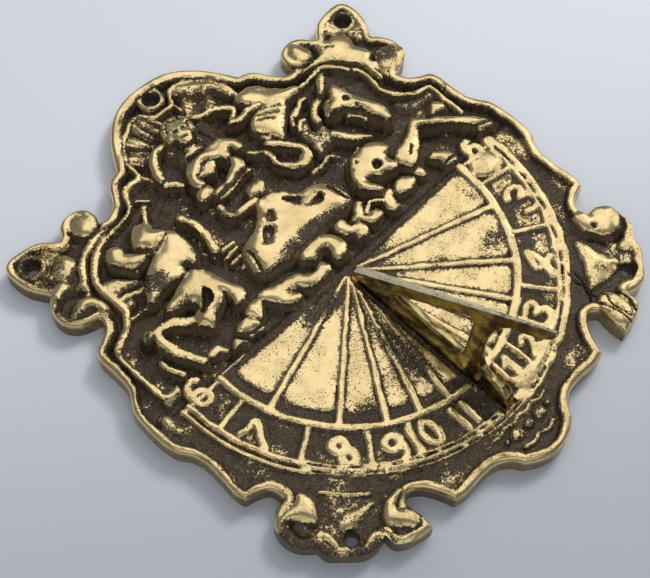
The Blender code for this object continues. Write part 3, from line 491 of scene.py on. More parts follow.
# Ground that the buff has reached in part: centre, radii and polish
WORN_GROUND = read_spots("""
101 -10 6 14 0.5; 101 -36 6 9 0.5; -102 -10 7 14 0.34; -100 -34 7 10 0.3; -78 -72 11 11 0.52;
-40 -98 13 7 0.5; 40 -97 12 7 0.46; 0 -97 24 5 0.44; 88 -46 5 9 0.42; 76 -38 9 8 0.6;
72 -50 8 7 0.55; 80 -20 8 6 0.5; -84 -12 7 5 0.42; -82 -30 8 7 0.44; -56 -70 7 7 0.35;
-22 -88 9 6 0.5; -36 -88 8 5 0.42; 30 -88 10 5 0.42; 52 -74 8 7 0.4; -94 26 5 14 0.42;
-92 8 8 6 0.4; 88 37 9 6 0.42; 98 12 5 12 0.36; 0 30 26 12 0.4; 16 108 14 12 0.56;
-22 108 12 10 0.5; -74 60 10 8 0.46; 40 56 9 12 0.44; -32 54 7 14 0.4; 34 84 12 14 0.42;
-30 92 6 8 0.36; 56 12 16 6 0.36; -56 8 14 5 0.34; 0 56 12 7 0.38; -90 92 14 12 0.5;
90 90 14 12 0.62; -92 -76 10 10 0.42; 90 -78 10 10 0.55; 0 122 30 6 0.36; 84 -14 9 12 0.66;
80 -40 9 12 0.66; 72 -56 10 10 0.62; 58 -70 10 8 0.5; 101 -6 6 12 0.6; -84 -40 8 10 0.5;
-70 -60 8 8 0.46; -50 -80 10 6 0.5
""")

# Hour figures from morning to evening: half width, middle line
NUMERALS = """
1.2 -89,-1 -87.4,-4 -84.4,-4.2 -82.5,-1.5 -83.4,1.5 -86,2.5 -88.4,1.2 -89,-1
1.5 -88.8,0 -88.8,3.6 -86.8,6.6 -83.6,7.8 -82.4,6.6
1.5 -86,-23.6 -82,-24.2 -78,-23.6 -78.8,-27 -81.6,-30.4 -83.4,-35
1.8 -61.8,-52.4 -59.4,-53.8 -59.8,-57 -62.2,-58.2 -64.4,-56.4 -64,-53.4 -61.8,-52.4
1.9 -62.4,-58.4 -59.8,-60.2 -60.4,-63.6 -63,-64.8 -65.4,-63 -65,-59.8 -62.4,-58.4
1.8 -45.6,-66.4 -42.9,-67.6 -42.4,-70.4 -44.4,-72.6 -47.4,-72 -48.6,-69.4 -47.6,-67 -45.6,-66.4
1.6 -42.6,-70.4 -43,-74.4 -45.4,-77.6 -47.6,-78
1.5 -36.6,-69.6 -38,-74 -39.6,-80.4
1.5 -31.4,-72 -28.6,-74 -28.2,-79 -30.2,-83 -33.2,-81.6 -34,-76 -31.4,-72
1.4 -18,-76.6 -18.4,-87
1.4 -12.6,-77.4 -12.8,-87.6
1.6 15.4,-76.6 15.6,-80 15.2,-88
1.2 12.8,-79.4 15.2,-77
1.5 25.4,-77.4 28,-75.4 30.4,-77.4 29,-81 26,-84.6
1.5 26,-84.6 30.6,-83 33.4,-84
1.6 37.4,-69.6 41,-67.4 44.2,-68 43.6,-71 41.4,-72.4
1.8 41.6,-72.4 45.6,-73 46.4,-76 44,-78.8 40.4,-79
1.9 61.4,-50.4 62.8,-54.4 62.4,-60 61.4,-65
1.5 61,-51 58.6,-57.4 60.6,-59.4 67.6,-58
1.6 76,-26.4 79,-23.6 83,-23.6 84.4,-26.6 81.4,-29
1.6 81.4,-29 85.4,-30.8 85.8,-35 82,-37.6 77.4,-36.2
1.6 85.2,4.2 82.8,2.8 82.6,0 84.8,-1.4 87.4,-0.6 88,2 86.8,3.8 85.2,4.2
1.5 82.6,1.6 82.4,5 84.6,7.4 87,7.6
"""

# Side view of the gnomon: its underside from the tip to the toe, and its window
GNOMON_UNDERSIDE = """
-102,83,c -101,79.6 -98.2,75.8 -93.6,71.4 -88.6,68.2 -83.8,65 -79.6,59.4 -76.6,51.8 -74.9,42
-74.5,33 -75.4,25.6 -78,20.6 -81.8,18.7 -85.4,19.4 -88.6,19.2 -91.6,16.2 -93.2,11,c
"""
WINDOW = """
-29,22.2 -29,21.3 -29.9,20.8 -64.4,20.8 -65.9,21.3 -66.5,22.8 -67.2,49.4 -66.9,50.7 -65.6,50.8
"""


def smooth_loop(points, steps):
    """Closed curve through the points, sharp at those marked as corners."""
    count = len(points)
    loop = []
    for i in range(count):
        before, here, after, beyond = (points[(i + k) % count] for k in (-1, 0, 1, 2))
        p0, p1, p2, p3 = (np.array(p[:2]) for p in (before, here, after, beyond))
        span = np.linalg.norm(p2 - p1)
        lead = unit(p2 - p0) * span if len(here) == 2 else p2 - p1
        trail = unit(p3 - p1) * span if len(after) == 2 else p2 - p1
        for k in range(steps):
            t = k / steps
            loop.append(p1 * (2 * t**3 - 3 * t**2 + 1) + lead * (t**3 - 2 * t**2 + t)
                        + p2 * (3 * t**2 - 2 * t**3) + trail * (t**3 - t**2))
    return np.array(loop)


def smooth_path(points, steps):
    """Open curve through the points."""
    if len(points) < 3:
        return np.array(points, float)
    closed = [(*points[0][:2], "c"), *points[1:-1], (*points[-1][:2], "c")]
    return smooth_loop(closed, steps)[: steps * (len(points) - 1) + 1]


def unit(vector):
    return vector / max(np.linalg.norm(vector), 1e-9)


def mirrored(half):
    left = [(-p[0], *p[1:]) for p in reversed(half[1:-1])]
    return half + left


def polar(radius, angle_deg, centre_y=0.0):
    angle = math.radians(angle_deg)
    return (radius * math.sin(angle), centre_y - radius * math.cos(angle))


def arc(radius, start_deg, end_deg, step_mm=1.2):
    count = max(2, round(math.radians(abs(end_deg - start_deg)) * radius / step_mm) + 1)
    return np.array([polar(radius, a) for a in np.linspace(start_deg, end_deg, count)])


def ring(centre, radius, count):
    angles = np.linspace(0.0, 2 * math.pi, count, endpoint=False)
    return np.stack((centre[0] + radius * np.cos(angles), centre[1] + radius * np.sin(angles)), 1)


def resample(path, step, closed):
    """Points an even distance apart along a path."""
    path = np.asarray(path, float)
    if closed:
        path = np.vstack((path, path[:1]))
    along = np.concatenate(([0.0], np.cumsum(np.linalg.norm(np.diff(path, axis=0), axis=1))))
    count = max(2, int(round(along[-1] / step)) + 1)
    at = np.linspace(0.0, along[-1], count)
    points = np.stack((np.interp(at, along, path[:, 0]), np.interp(at, along, path[:, 1])), 1)
    return points[:-1] if closed else points


def path_distance(x, y, path, closed):
    """Distance from each point to the nearest part of a path."""
    path = np.asarray(path, float)
    starts = path if closed else path[:-1]
    ends = np.roll(path, -1, 0) if closed else path[1:]
    best = np.full(len(x), 1e9)
    for (ax, ay), (bx, by) in zip(starts, ends):
        dx, dy = bx - ax, by - ay
        t = np.clip(((x - ax) * dx + (y - ay) * dy) / max(dx * dx + dy * dy, 1e-12), 0.0, 1.0)
        best = np.minimum(best, (x - ax - t * dx) ** 2 + (y - ay - t * dy) ** 2)
    return np.sqrt(best)


def inside(x, y, loop):
    """True for points within a closed loop."""
    result = np.zeros(len(x), bool)
    for (ax, ay), (bx, by) in zip(loop, np.roll(loop, -1, 0)):
        if ay == by:
            continue
        crosses = (ay > y) != (by > y)
        result ^= crosses & (x < (bx - ax) * (y - ay) / (by - ay) + ax)
    return result


def near(x, y, path, reach):
    """Indices of the points within reach of a path's box."""
    low = np.min(path, 0) - reach
    high = np.max(path, 0) + reach
    return np.nonzero((x > low[0]) & (x < high[0]) & (y > low[1]) & (y < high[1]))[0]


def across(step):
    """Unit vectors square to the given steps, on their left."""
    return np.stack((-step[:, 1], step[:, 0]), 1) / np.linalg.norm(step, axis=1)[:, None]


def turning(loop):
    """Twice the area of a loop, above zero if it runs anticlockwise."""
    x, y = loop.T
    return np.sum(x * np.roll(y, -1) - y * np.roll(x, -1))


def anticlockwise(loop):
    return loop if turning(loop) > 0 else loop[::-1]


def outward(loop):
    """Unit vectors that point out of a loop, one for each of its points."""
    return -across(np.roll(loop, -1, 0) - np.roll(loop, 1, 0)) * np.sign(turning(loop))


def shifted_rows(loop, normal, offsets, slack, room, solid):
    """Copies of a loop moved along its normals, less the points where another edge is nearer."""
    rows = []
    for offset in offsets:
        moved = loop + normal * offset
        rows.append(moved[(np.abs(room(*moved.T) - offset) < slack) & solid(*moved.T)])
    return rows


def ramp(low, high, value):
    """Smooth step from 0 at low to 1 at high."""
    t = np.clip((value - low) / (high - low), 0.0, 1.0)
    return t * t * (3 - 2 * t)


def quarter_round(beyond):
    """Height of a quarter circle: 1 where beyond is 0, and 0 where it is 1."""
    return np.sqrt(np.clip(1.0 - beyond ** 2, 0.0, 1.0))


def flank_fall(beyond):
    """Share of a form's height left on its flank: 1 at the top edge, 0 at the foot."""
    return np.clip(1.0 - beyond ** 2, 0.0, 1.0) ** FLANK_CURVE


def noise(x, y, cell, seed, size=256):
    """Smooth random field between -1 and 1, with lumps about a cell wide."""
    table = np.random.default_rng(seed).uniform(-1.0, 1.0, (size, size))
    u, v = x / cell + size, y / cell + size
    i, j = np.floor(u).astype(int), np.floor(v).astype(int)
    fu, fv = u - i, v - j
    fu, fv = fu * fu * (3 - 2 * fu), fv * fv * (3 - 2 * fv)
    i0, j0, i1, j1 = i % size, j % size, (i + 1) % size, (j + 1) % size
    low = table[i0, j0] * (1 - fu) + table[i1, j0] * fu
    high = table[i0, j1] * (1 - fu) + table[i1, j1] * fu
    return low * (1 - fv) + high * fv


OUTLINE = resample(smooth_loop(mirrored(read(PLATE_HALF)), 8), OUTLINE_STEP, True)
FIELD = smooth_loop(mirrored(read(FIELD_HALF)), 3)


def nearest_outline(x, y):
    """Distance to the plaque's outline, exact where it is less than OUTLINE_REACH."""
    depth = np.full(len(x), 99.0)
    for start in range(0, len(OUTLINE), 16):
        part = OUTLINE[np.arange(start, start + 17) % len(OUTLINE)]
        at = near(x, y, part, OUTLINE_REACH)
        depth[at] = np.minimum(depth[at], path_distance(x[at], y[at], part, False))
    return depth


class Face:
    """Heights and polish of the cast face at a set of points."""

    def __init__(self, x, y, z):
        self.true = (x, y)
        self.x, self.y, self.z = x, y, z
        self.polish = np.full(len(x), GROUND_POLISH)
        self.flank = np.zeros(len(x))
        self.wobble = noise(x, y, 5.0, 31)

    def warp(self, amount):
        """Moves the points the forms are drawn at, so that no edge runs quite true."""
        x, y = self.true
        self.x = x + amount * (noise(x, y, 5.0, 32) + 0.45 * noise(x, y, 1.7, 33))
        self.y = y + amount * (noise(x, y, 5.0, 34) + 0.45 * noise(x, y, 1.7, 35))

    def lift(self, at, top, polish, blend=LINE_BLEND, flank=0.0):
        """Joins a form to what is there with a soft fillet."""
        share = np.clip(0.5 + 0.5 * (top - self.z[at]) / blend, 0.0, 1.0)
        self.z[at] = self.z[at] * (1 - share) + top * share + blend * 0.5 * share * (1 - share)
        self.polish[at] = self.polish[at] * (1 - share) + polish * share
        self.flank[at] = self.flank[at] * (1 - share) + flank * share

    def mass(self, loop, top, shoulder, level, crown=CROWN):
        at = near(self.x, self.y, loop, shoulder)
        x, y = self.x[at], self.y[at]
        within = inside(x, y, loop)
        gap = path_distance(x, y, loop, True)
        outside = np.where(within, 0.0, gap)
        keep = outside < shoulder
        fall = flank_fall(outside / shoulder)
        height = FLANK_FOOT + (top - FLANK_FOOT) * fall
        dome = 1 - np.exp(-gap / 2.0) + 0.8 * (1 - np.exp(-gap / 6.0))
        height += np.where(within, crown * dome, 0.0)
        on_face = EDGE_WEAR + (1 - EDGE_WEAR) * ramp(0.0, EDGE_WEAR_WIDTH, gap)
        worn = level * np.where(within, on_face, EDGE_WEAR * ramp(0.6, 0.9, fall))
        flank = 1 - ramp(0.7, 0.9, fall)
        self.lift(at[keep], height[keep], worn[keep], MASS_BLEND, flank[keep])

    def line(self, path, top, half, level, foot=FLANK_FOOT, spread=0.0):
        at = near(self.x, self.y, path, half * (1.3 + spread) + LINE_APRON)
        gap = path_distance(self.x[at], self.y[at], path, False)
        half = half * (1 + LINE_WOBBLE * self.wobble[at])
        half = half * (1 + spread * np.hypot(self.x[at], self.y[at]) / INNER_ARC_R)
        reach = half + LINE_APRON
        keep = gap < reach
        core = half * LINE_CORE
        fall = flank_fall(np.maximum(gap - core, 0.0) / (reach - core))
        height = foot + (top - foot) * fall
        worn = level * ramp(0.6, 0.88, fall)
        flank = 1 - ramp(0.7, 0.9, fall)
        self.lift(at[keep], height[keep], worn[keep], LINE_BLEND, flank[keep])

    def ball(self, centre, radii, turn_deg, top, level):
        c, s = math.cos(math.radians(turn_deg)), math.sin(math.radians(turn_deg))
        dx, dy = self.x - centre[0], self.y - centre[1]
        u, v = (dx * c + dy * s) / radii[0], (dy * c - dx * s) / radii[1]
        away = np.sqrt(u * u + v * v)
        at = np.nonzero(away < 1.0)[0]
        fall = np.sqrt(1.0 - away[at] ** 3.2)
        height = SUNK_Z + (top - SUNK_Z) * fall
        self.lift(at, height, level * ramp(0.45, 0.75, fall))

    def pit(self, loop, depth, edge):
        at = near(self.x, self.y, loop, edge)
        x, y = self.x[at], self.y[at]
        gap = path_distance(x, y, loop, True) * np.where(inside(x, y, loop), 1.0, -1.0)
        share = ramp(-edge * 0.6, edge * 0.6, gap)
        self.z[at] -= depth * share
        self.polish[at] *= 1 - ramp(-edge * 0.5, edge * 0.2, gap)

    def groove(self, path, depth, half):
        at = near(self.x, self.y, path, half * 1.3)
        gap = path_distance(self.x[at], self.y[at], path, False)
        share = 1 - ramp(half * 0.2, half * 1.2, gap)
        self.z[at] -= depth * share
        self.polish[at] *= 1 - share


def lean_shift(top, lean):
    """How far a form is put back because of where it was read from."""
    return SIGHT_LEAN * (top - RIDGE_Z) if lean else np.zeros(2)


def form_path(kind, top, points, lean=True, side=1):
    """A form's curve; side -1 mirrors it."""
    points = [(side * p[0], *p[1:]) for p in points]
    smooth = smooth_loop if kind in ("mass", "pit") else smooth_path
    return smooth(points, 3) - lean_shift(top, lean)


def shape_forms(face, forms, lean=True, side=1):
    for kind, top, size, level, points in forms:
        if kind == "ball":
            centre, radii = (np.array(p) for p in points)
            centre = centre * (side, 1) - lean_shift(top, lean)
            face.ball(centre, radii, side * level, top, size)
            continue
        path = form_path(kind, top, points, lean, side)
        if kind in ("mass", "line"):
            raised = face.mass if kind == "mass" else face.line
            raised(path, top, size, level)
        else:
            sunk = face.pit if kind == "pit" else face.groove
            sunk(path, size, level)


def wedge_loop(side, inner, outer):
    """Flat facet between two hour lines, set in from both, more so at the wide end."""
    far_r = FACET_END_R[side]
    middle = (inner + outer) / 2
    half = math.radians(outer - inner) / 2
    apex = polar(NEAR_GAP / math.sin(half), side * middle, ROOT_Y)
    margin = math.degrees(FAR_GAP / far_r)
    bend = arc(far_r, side * (inner + margin), side * (outer - margin), 2.0)
    for corner in (0, -1):
        bend[corner] += unit(np.array(apex) - bend[corner]) * FACET_CORNER
    return np.vstack(([apex], bend))


def facet_loops():
    pairs = list(zip(FACET_EDGES, FACET_EDGES[1:]))
    return [wedge_loop(side, inner, outer) for side in (1, -1) for inner, outer in pairs]


def dial_lines():
    """Middle lines of the dial's ridges and figures: (path, top, half width, polish)."""
    lines = [(arc(*ends), top, half, level) for *ends, top, half, level in ARCS]
    lines.append((np.array(((-76.0, 0.9), (-60.0, 0.9))), 7.4, 0.5, 0.9))
    for side in (1, -1):
        for angle in HOUR_ANGLES:
            ends = (polar(RIB_START_R, side * angle, ROOT_Y), polar(INNER_ARC_R, side * angle))
            lines.append((np.array(ends), RIB_Z, RIB_HALF, 1.0))
        for angle in BAR_ANGLES[side]:
            ends = (polar(INNER_ARC_R, side * angle), polar(BAND_INNER_R, side * angle))
            lines.append((np.array(ends), BAR_Z, BAR_HALF, 1.0))
        ends = ((side * INNER_ARC_R, -0.6), (side * BAND_OUTER_R, -0.6))
        lines.append((np.array(ends), END_LINE_Z, 0.8, 0.8))
    return lines + [(smooth_path(read(text), 4), NUMERAL_Z, float(half), 1.0)
                    for half, text in (row.split(" ", 1) for row in NUMERALS.strip().split("\n"))]


def shape_dial(face):
    x, y = face.x, face.y
    r = np.hypot(x, y - ROOT_Y)
    for loop in facet_loops():
        at = near(x, y, loop, 1.0)
        before = face.z[at].copy()
        face.mass(loop, WEDGE_Z, FACET_SHOULDER, FACET_POLISH, crown=0.0)
        dulled = 0.4 + 0.6 * ramp(6.0, 32.0, r[at])
        face.polish[at] *= np.where(face.z[at] > before + 0.2, dulled, 1.0)
    for path, top, half, level in dial_lines():
        spread = RIB_SPREAD if top == RIB_Z else 0.0
        face.line(path, top, half, level, foot=FIELD_Z, spread=spread)
    turn = np.degrees(np.arctan2(x, -y))
    for slot_r, start, end, seed in DASHES:
        dash = ramp(-0.35, 0.05, noise(turn * 0.45, turn * 0.02, 1.0, seed))
        dash *= (turn > start) & (turn < end)
        groove = (1 - ramp(0.2, 0.7, np.abs(np.hypot(x, y) - slot_r))) * dash
        face.z -= DASH_DEPTH * groove
        face.polish *= 1 - groove


def shape_bosses(face):
    for cx, cy in MOUNT_HOLES[:3]:
        r = np.hypot(face.x - cx, face.y - cy)
        at = np.nonzero(r < BOSS_R)[0]
        fall = quarter_round(np.maximum(r[at] - BOSS_FLAT_R, 0.0) / BOSS_SHOULDER)
        level = 0.85 if cx == 0.0 else 0.5
        height = FLANK_FOOT + (BOSS_Z - FLANK_FOOT) * fall
        face.lift(at, height, level * ramp(0.75, 0.95, fall))


def shape_holes(face):
    for cx, cy in MOUNT_HOLES:
        r = np.hypot(face.x - cx, face.y - cy)
        mouth = MOUNT_MOUTH_Z + (r - MOUNT_HOLE_R) * MOUTH_SLOPE
        cut = mouth < face.z
        face.z = np.minimum(face.z, np.maximum(mouth, MOUNT_MOUTH_Z))
        face.polish[cut & (r < MOUNT_MOUTH_R + 0.6)] *= 0.25


def shape_head(face):
    x, y = face.true
    dx, dy = x - HEAD_CENTRE[0], y - HEAD_CENTRE[1]
    c, s = math.cos(HEAD_TILT), math.sin(HEAD_TILT)
    face.x, face.y = dx * c - dy * s, dx * s + dy * c
    shape_forms(face, HEAD, lean=False)
    face.x, face.y = x, y


def shape_rim(face, depth):
    """The raised rim along the outline, narrower on the left and wider at the top lobe."""
    x, y = face.x, face.y
    rise = quarter_round((RIM_EDGE - np.minimum(depth, RIM_EDGE)) / RIM_EDGE)
    lobe = ramp(96.0, 108.0, y)
    left = ramp(88.0, 100.0, -x) * ramp(-60.0, -45.0, y) * (1 - ramp(55.0, 62.0, y))
    left += ramp(88.0, 92.0, -x) * ramp(56.0, 60.0, y)
    flat = RIM_FLAT + 0.5 * noise(x, y, 9.0, 36) + 0.3 * noise(x, y, 2.6, 37) + 0.9 * lobe - 1.0 * left
    fall = quarter_round((depth - flat) / RIM_SHOULDER)
    on_flat = depth < flat
    on_rim = np.nonzero(depth < flat + RIM_SHOULDER)[0]
    bead = np.where(on_flat, EDGE_Z + RIM_RISE * rise, FLANK_FOOT + (RIM_Z - FLANK_FOOT) * fall)
    edge = RIM_EDGE_POLISH + (1 - RIM_EDGE_POLISH) * ramp(0.0, 1.2, flat - depth)
    polish = np.where(on_flat, edge, RIM_EDGE_POLISH * ramp(0.78, 0.96, fall))
    polish *= 1 - DULL_EAR_LOSS * dull_ear(x, y)
    face.lift(on_rim, bead[on_rim], polish[on_rim])


def dull_ear(x, y):
    """Where the edge of the lower left ear has gone dark, 0 to 1."""
    side = ramp(92.0, 97.0, -x) * ramp(-94.0, -88.0, y) * (1 - ramp(-66.0, -61.0, y))
    below = ramp(72.0, 77.0, -x) * (1 - ramp(-91.0, -86.0, y))
    return np.maximum(side, below)


def dull_wall(x, y):
    """Where the outer wall has gone dark: at the ears and in two notches on the left, 0 to 1."""
    ears = ramp(91.0, 96.0, np.abs(x)) * ramp(50.0, 56.0, np.abs(y))
    notches = ramp(82.0, 88.0, -x) * ramp(-62.0, -58.0, y) * (y < -43.0)
    notches += ramp(43.0, 48.0, -x) * ramp(-66.0, -62.0, x) * (y < -80.0)
    return np.maximum(np.maximum(ears, dull_ear(x, y)), notches)


def cast_forms(x, y):
    """The cast face before its surface texture, and its distance from the outline."""
    depth = nearest_outline(x, y)
    ground = DIAL_Z + (SUNK_Z - DIAL_Z) * ramp(0.6, 3.0, y)
    face = Face(x, y, np.where(inside(x, y, FIELD), ground, EAR_Z))
    shape_rim(face, depth)
    face.warp(DIAL_WARP)
    shape_dial(face)
    shape_bosses(face)
    face.warp(PICTURE_WARP)
    for side in (1, -1):
        shape_forms(face, MIRRORED_FORMS, lean=False, side=side)
    shape_forms(face, OTHER_FORMS, lean=False)
    shape_forms(face, PICTURE)
    face.warp(0.0)
    shape_head(face)
    # Most of these spots are tarnish; the one on the upper left ear is painted shade
    for cx, cy, rx, ry, loss in TARNISH_AND_PAINTED_SHADE:
        away = np.hypot((x - cx) / rx, (y - cy) / ry)
        face.polish *= 1 - loss * (1 - ramp(0.3, 1.0, away))
    for text in CRACKS:
        face.groove(smooth_path(read(text), 3), CRACK_DEPTH, CRACK_HALF)
    seat = (np.abs(x) < SEAT_HALF + 0.2) & (y < FOOT_START_Y) & (y > FOOT_END_Y)
    beside = (np.abs(x) < SEAT_HALF + 1.6) & (y < FOOT_START_Y - 4) & (y > FOOT_END_Y)
    face.z = np.where(beside, np.minimum(face.z, DIAL_Z), face.z)
    face.z = np.where(seat, SEAT_Z, face.z)
    face.polish = np.where(beside, 0.1, face.polish)
    return face, depth


def ground_lumps(x, y):
    """Wrinkles of the rough ground; those of the sky run out from the driver."""
    turn = np.arctan2(x - DRIVER[0], y - DRIVER[1])
    away = np.hypot(x - DRIVER[0], y - DRIVER[1])
    streak = noise(turn * 26.0, away / 9.0, 1.0, 16) * (y > 3.0) * ramp(8.0, 20.0, away)
    lumps = 0.42 * noise(x, y, 3.4, 11) + 0.26 * noise(x, y, 1.3, 12)
    lumps += 0.42 * streak
    lumps += 0.26 * noise(x, y, 7.0, 18)
    rays = np.cos(turn * 19.0 + 1.2 * noise(x, y, 9.0, 19))
    return lumps + 0.5 * (rays * ramp(88.0, 96.0, y) * ramp(12.0, 16.0, away))


def relief(x, y):
    """Height of the face, its polish (with painted shade on slopes that face -Y) and how much of a flank
    it is (0 to 1), at points in mm.
    """
    face, depth = cast_forms(x, y)
    above, _ = cast_forms(x, y + FLANK_PROBE)
    slope = (face.z - above.z) / FLANK_PROBE
    buffed = 0.75 * ramp(0.5, 1.4, slope) * ramp(6.5, 8.5, face.z) * (y > 2.0)
    face.polish = np.maximum(face.polish, buffed)
    # Slopes that face -Y lose their polish and go dark: painted shade on the sides turned from the light
    face.polish *= 1 - ramp(0.2, 0.55, -slope) * ramp(1.8, 2.6, depth)
    polish = np.clip(face.polish, 0.0, 1.0)
    quiet = ramp(0.0, 2.5, depth)
    lumps = ground_lumps(x, y)
    face.z += (1 - polish) * quiet * LUMP_HEIGHT * lumps
    face.z += polish * (0.28 * noise(x, y, 13.0, 13) + 0.08 * noise(x, y, 5.0, 14))
    face.z += polish * quiet * ramp(3.0, 6.0, y) * 0.45 * noise(x, y, 7.5, 20)
    glint = 0.2 + 0.36 * lumps + 0.14 * noise(x, y, 7.0, 17)
    for cx, cy, rx, ry, level in WORN_GROUND:
        at = near(x, y, np.array(((cx, cy),)), max(rx, ry))
        share = 1 - ramp(0.35, 1.0, np.hypot((x[at] - cx) / rx, (y[at] - cy) / ry))
        glint[at] += (level - 0.16) * share
    glint = np.clip(glint, 0.0, 0.66) * quiet * (1 - 0.85 * face.flank)
    face.polish = np.maximum(polish, glint)
    shape_holes(face)
    return face.z, face.polish, face.flank


def contour_points():
    """Points along the edges of the forms, so that the mesh follows them."""
    rows = []
    for path, _, half, _ in dial_lines():
        even = resample(path, 1.0, False)
        normal = across(np.gradient(even, axis=0))
        for offset in (half * LINE_CORE, half + 0.35, half + LINE_APRON):
            rows += [even + normal * offset, even - normal * offset]
    rows += [resample(loop, 1.0, True) for loop in facet_loops()]
    for kind, top, size, _, points in PICTURE:
        if kind == "mass":
            loop = resample(form_path(kind, top, points), 0.8, True)
            normal = outward(loop)
            rows += [loop, loop + normal * size * 0.7, loop + normal * size]
    return np.vstack(rows)


def within_outline(x, y):
    return inside(x, y, OUTLINE)


def detail_order(x, y):
    """Grid points within the outline, the coarse ones first, then those with the most detail."""
    shape = (len(y), len(x))
    gx, gy = (g.ravel() for g in np.meshgrid(x, y))
    z, polish, _ = relief(gx, gy)
    z, polish = z.reshape(shape), polish.reshape(shape)
    score = np.zeros_like(z)
    score[1:-1, :] += np.abs(z[2:, :] - 2 * z[1:-1, :] + z[:-2, :])
    score[:, 1:-1] += np.abs(z[:, 2:] - 2 * z[:, 1:-1] + z[:, :-2])
    score += 0.35 * sum(np.abs(slope) for slope in np.gradient(polish))
    score[::COARSE_EVERY, ::COARSE_EVERY] += 10.0
    score = np.where(within_outline(gx, gy) & (nearest_outline(gx, gy) > EDGE_CLEAR), score.ravel(), -1.0)
    order = np.argsort(-score, kind="stable")
    order = order[score[order] > -0.5]
    return np.stack((gx[order], gy[order]), 1)


def sample_points(target):
    """Outline, rim rings and hole rings first, then edges of forms, then a grid where there is detail."""
    rows = shifted_rows(OUTLINE, -outward(OUTLINE), RIM_ROWS, 0.1, nearest_outline, within_outline)
    for centre in MOUNT_HOLES:
        rows += [ring(centre, radius, MOUNT_SIDES) for radius in MOUTH_RINGS]
    edges = contour_points()
    edges = edges[within_outline(*edges.T) & (nearest_outline(*edges.T) > EDGE_CLEAR)]
    grid = detail_order(*(np.arange(side.min() + 0.3, side.max(), GRID_PITCH) for side in OUTLINE.T))
    points = np.vstack((*rows, edges, grid))
    holes = [(*centre, MOUNT_HOLE_R) for centre in MOUNT_HOLES] + [(0.0, y, SCREW_HOLE_R) for y in SCREW_Y]
    for cx, cy, radius in holes:
        points = points[np.hypot(points[:, 0] - cx, points[:, 1] - cy) > radius + HOLE_CLEAR]
    cell = np.floor(points / CELL).astype(np.int64)
    _, first = np.unique(cell[:, 0] * 100000 + cell[:, 1], return_index=True)
    return points[np.sort(first)][:target]


def triangulate(loops, loose):
    """Triangles over the first loop, less the other loops; returns points and faces."""
    points = [Vector(p) for loop in loops for p in loop] + [Vector(p) for p in loose]
    edges = []
    start = 0
    for loop in loops:
        count = len(loop)
        edges += [(start + i, start + (i + 1) % count) for i in range(count)]
        start += count
    made, _, faces, origins, _, _ = delaunay_2d_cdt(points, edges, [], 0, 1e-6)
    if len(made) != len(points):
        raise ValueError("some points of the mesh fell together")
    where = np.array([o[0] for o in origins])
    flat = np.array([tuple(p) for p in points])
    tris = where[np.array(faces)]
    middle = flat[tris].mean(1).T
    keep = inside(*middle, loops[0])
    for loop in loops[1:]:
        keep &= ~inside(*middle, loop)
    return flat, tris[keep]


def bridge(upper, lower):
    """Quads between two closed rows of vertices; the outside is on the right of the row's travel."""
    count = len(upper)
    return [(upper[i], lower[i], lower[(i + 1) % count], upper[(i + 1) % count]) for i in range(count)]


def new_mesh(name, verts_mm, faces):
    mesh = bpy.data.meshes.new(name)
    mesh.from_pydata(verts_mm * MM, [], faces)
    return mesh


def new_object(name, data):
    obj = bpy.data.objects.new(name, data)
    bpy.context.scene.collection.objects.link(obj)
    return obj


def finish_mesh(mesh, material, sharp_deg):
    """Smooth shading with sharp edges where faces meet at more than the angle; returns the object."""
    mesh.shade_smooth()
    mesh.set_sharp_from_angle(angle=math.radians(sharp_deg))
    mesh.materials.append(material)
    return new_object(mesh.name, mesh)


def build_plaque(material):
    """The casting as one closed mesh: face, walls, holes, counterbores and back."""
    outline = anticlockwise(OUTLINE)
    mounts = [ring(c, MOUNT_HOLE_R, MOUNT_SIDES) for c in MOUNT_HOLES]
    screws = [ring((0.0, y), SCREW_HOLE_R, SCREW_SIDES) for y in SCREW_Y]
    flat, tris = triangulate([outline, *mounts, *screws], sample_points(TOP_POINTS))
    z, polish, flank = relief(*flat.T)
    verts = [np.column_stack((flat, z))]
    worn = [polish]
    faces = [tuple(t) for t in tris]
    total = len(flat)

    def add_row(points, height, shine):
        nonlocal total
        verts.append(np.column_stack((points, np.full(len(points), height))))
        worn.append(np.full(len(points), 1.0) * shine)
        total += len(points)
        return list(range(total - len(points), total))

    def add_wall(row, points, heights, shine=HOLE_POLISH, hole=True):
        """Rows of quads down from a loop; shine is one value or one for each point."""
        for height in heights:
            lower = add_row(points, height, shine)
            faces.extend(bridge(lower, row) if hole else bridge(row, lower))
            row = lower
        return row

    start = 0
    rows = []
    for loop in (outline, *mounts, *screws):
        rows.append(list(range(start, start + len(loop))))
        start += len(loop)
    shine = WALL_POLISH - DULL_WALL_LOSS * dull_wall(*outline.T)
    foot = [add_wall(rows[0], outline, WALL_HEIGHTS, shine, hole=False)]
    for loop, row in zip(mounts, rows[1:6]):
        foot.append(add_wall(row, loop, HOLE_HEIGHTS))
    bores = [ring((0.0, y), COUNTERBORE_R, SCREW_SIDES) for y in SCREW_Y]
    for bore, loop, row in zip(bores, screws, rows[6:]):
        row = add_wall(row, loop, (COUNTERBORE_DEPTH,))
        step_row = add_row(bore, COUNTERBORE_DEPTH, HOLE_POLISH)
        faces.extend(bridge(step_row, row))
        foot.append(add_wall(step_row, bore, (0.0,)))
    _, back = triangulate([outline, *mounts, *bores], [])
    index = np.array([i for row in foot for i in row])
    faces.extend(tuple(index[t][::-1]) for t in back)
    mesh = new_mesh("dial_plate_cast", np.vstack(verts), faces)
    # Walls and holes get half of the paler flank tarnish, which is painted bounce light
    side = np.concatenate((flank, np.full(total - len(flank), 0.5)))
    for name, values in (("polish", np.concatenate(worn)), ("flank", side)):
        store = mesh.attributes.new(name, "FLOAT", "POINT")
        store.data.foreach_set("value", values.astype(np.float32))
    return finish_mesh(mesh, material, 62)


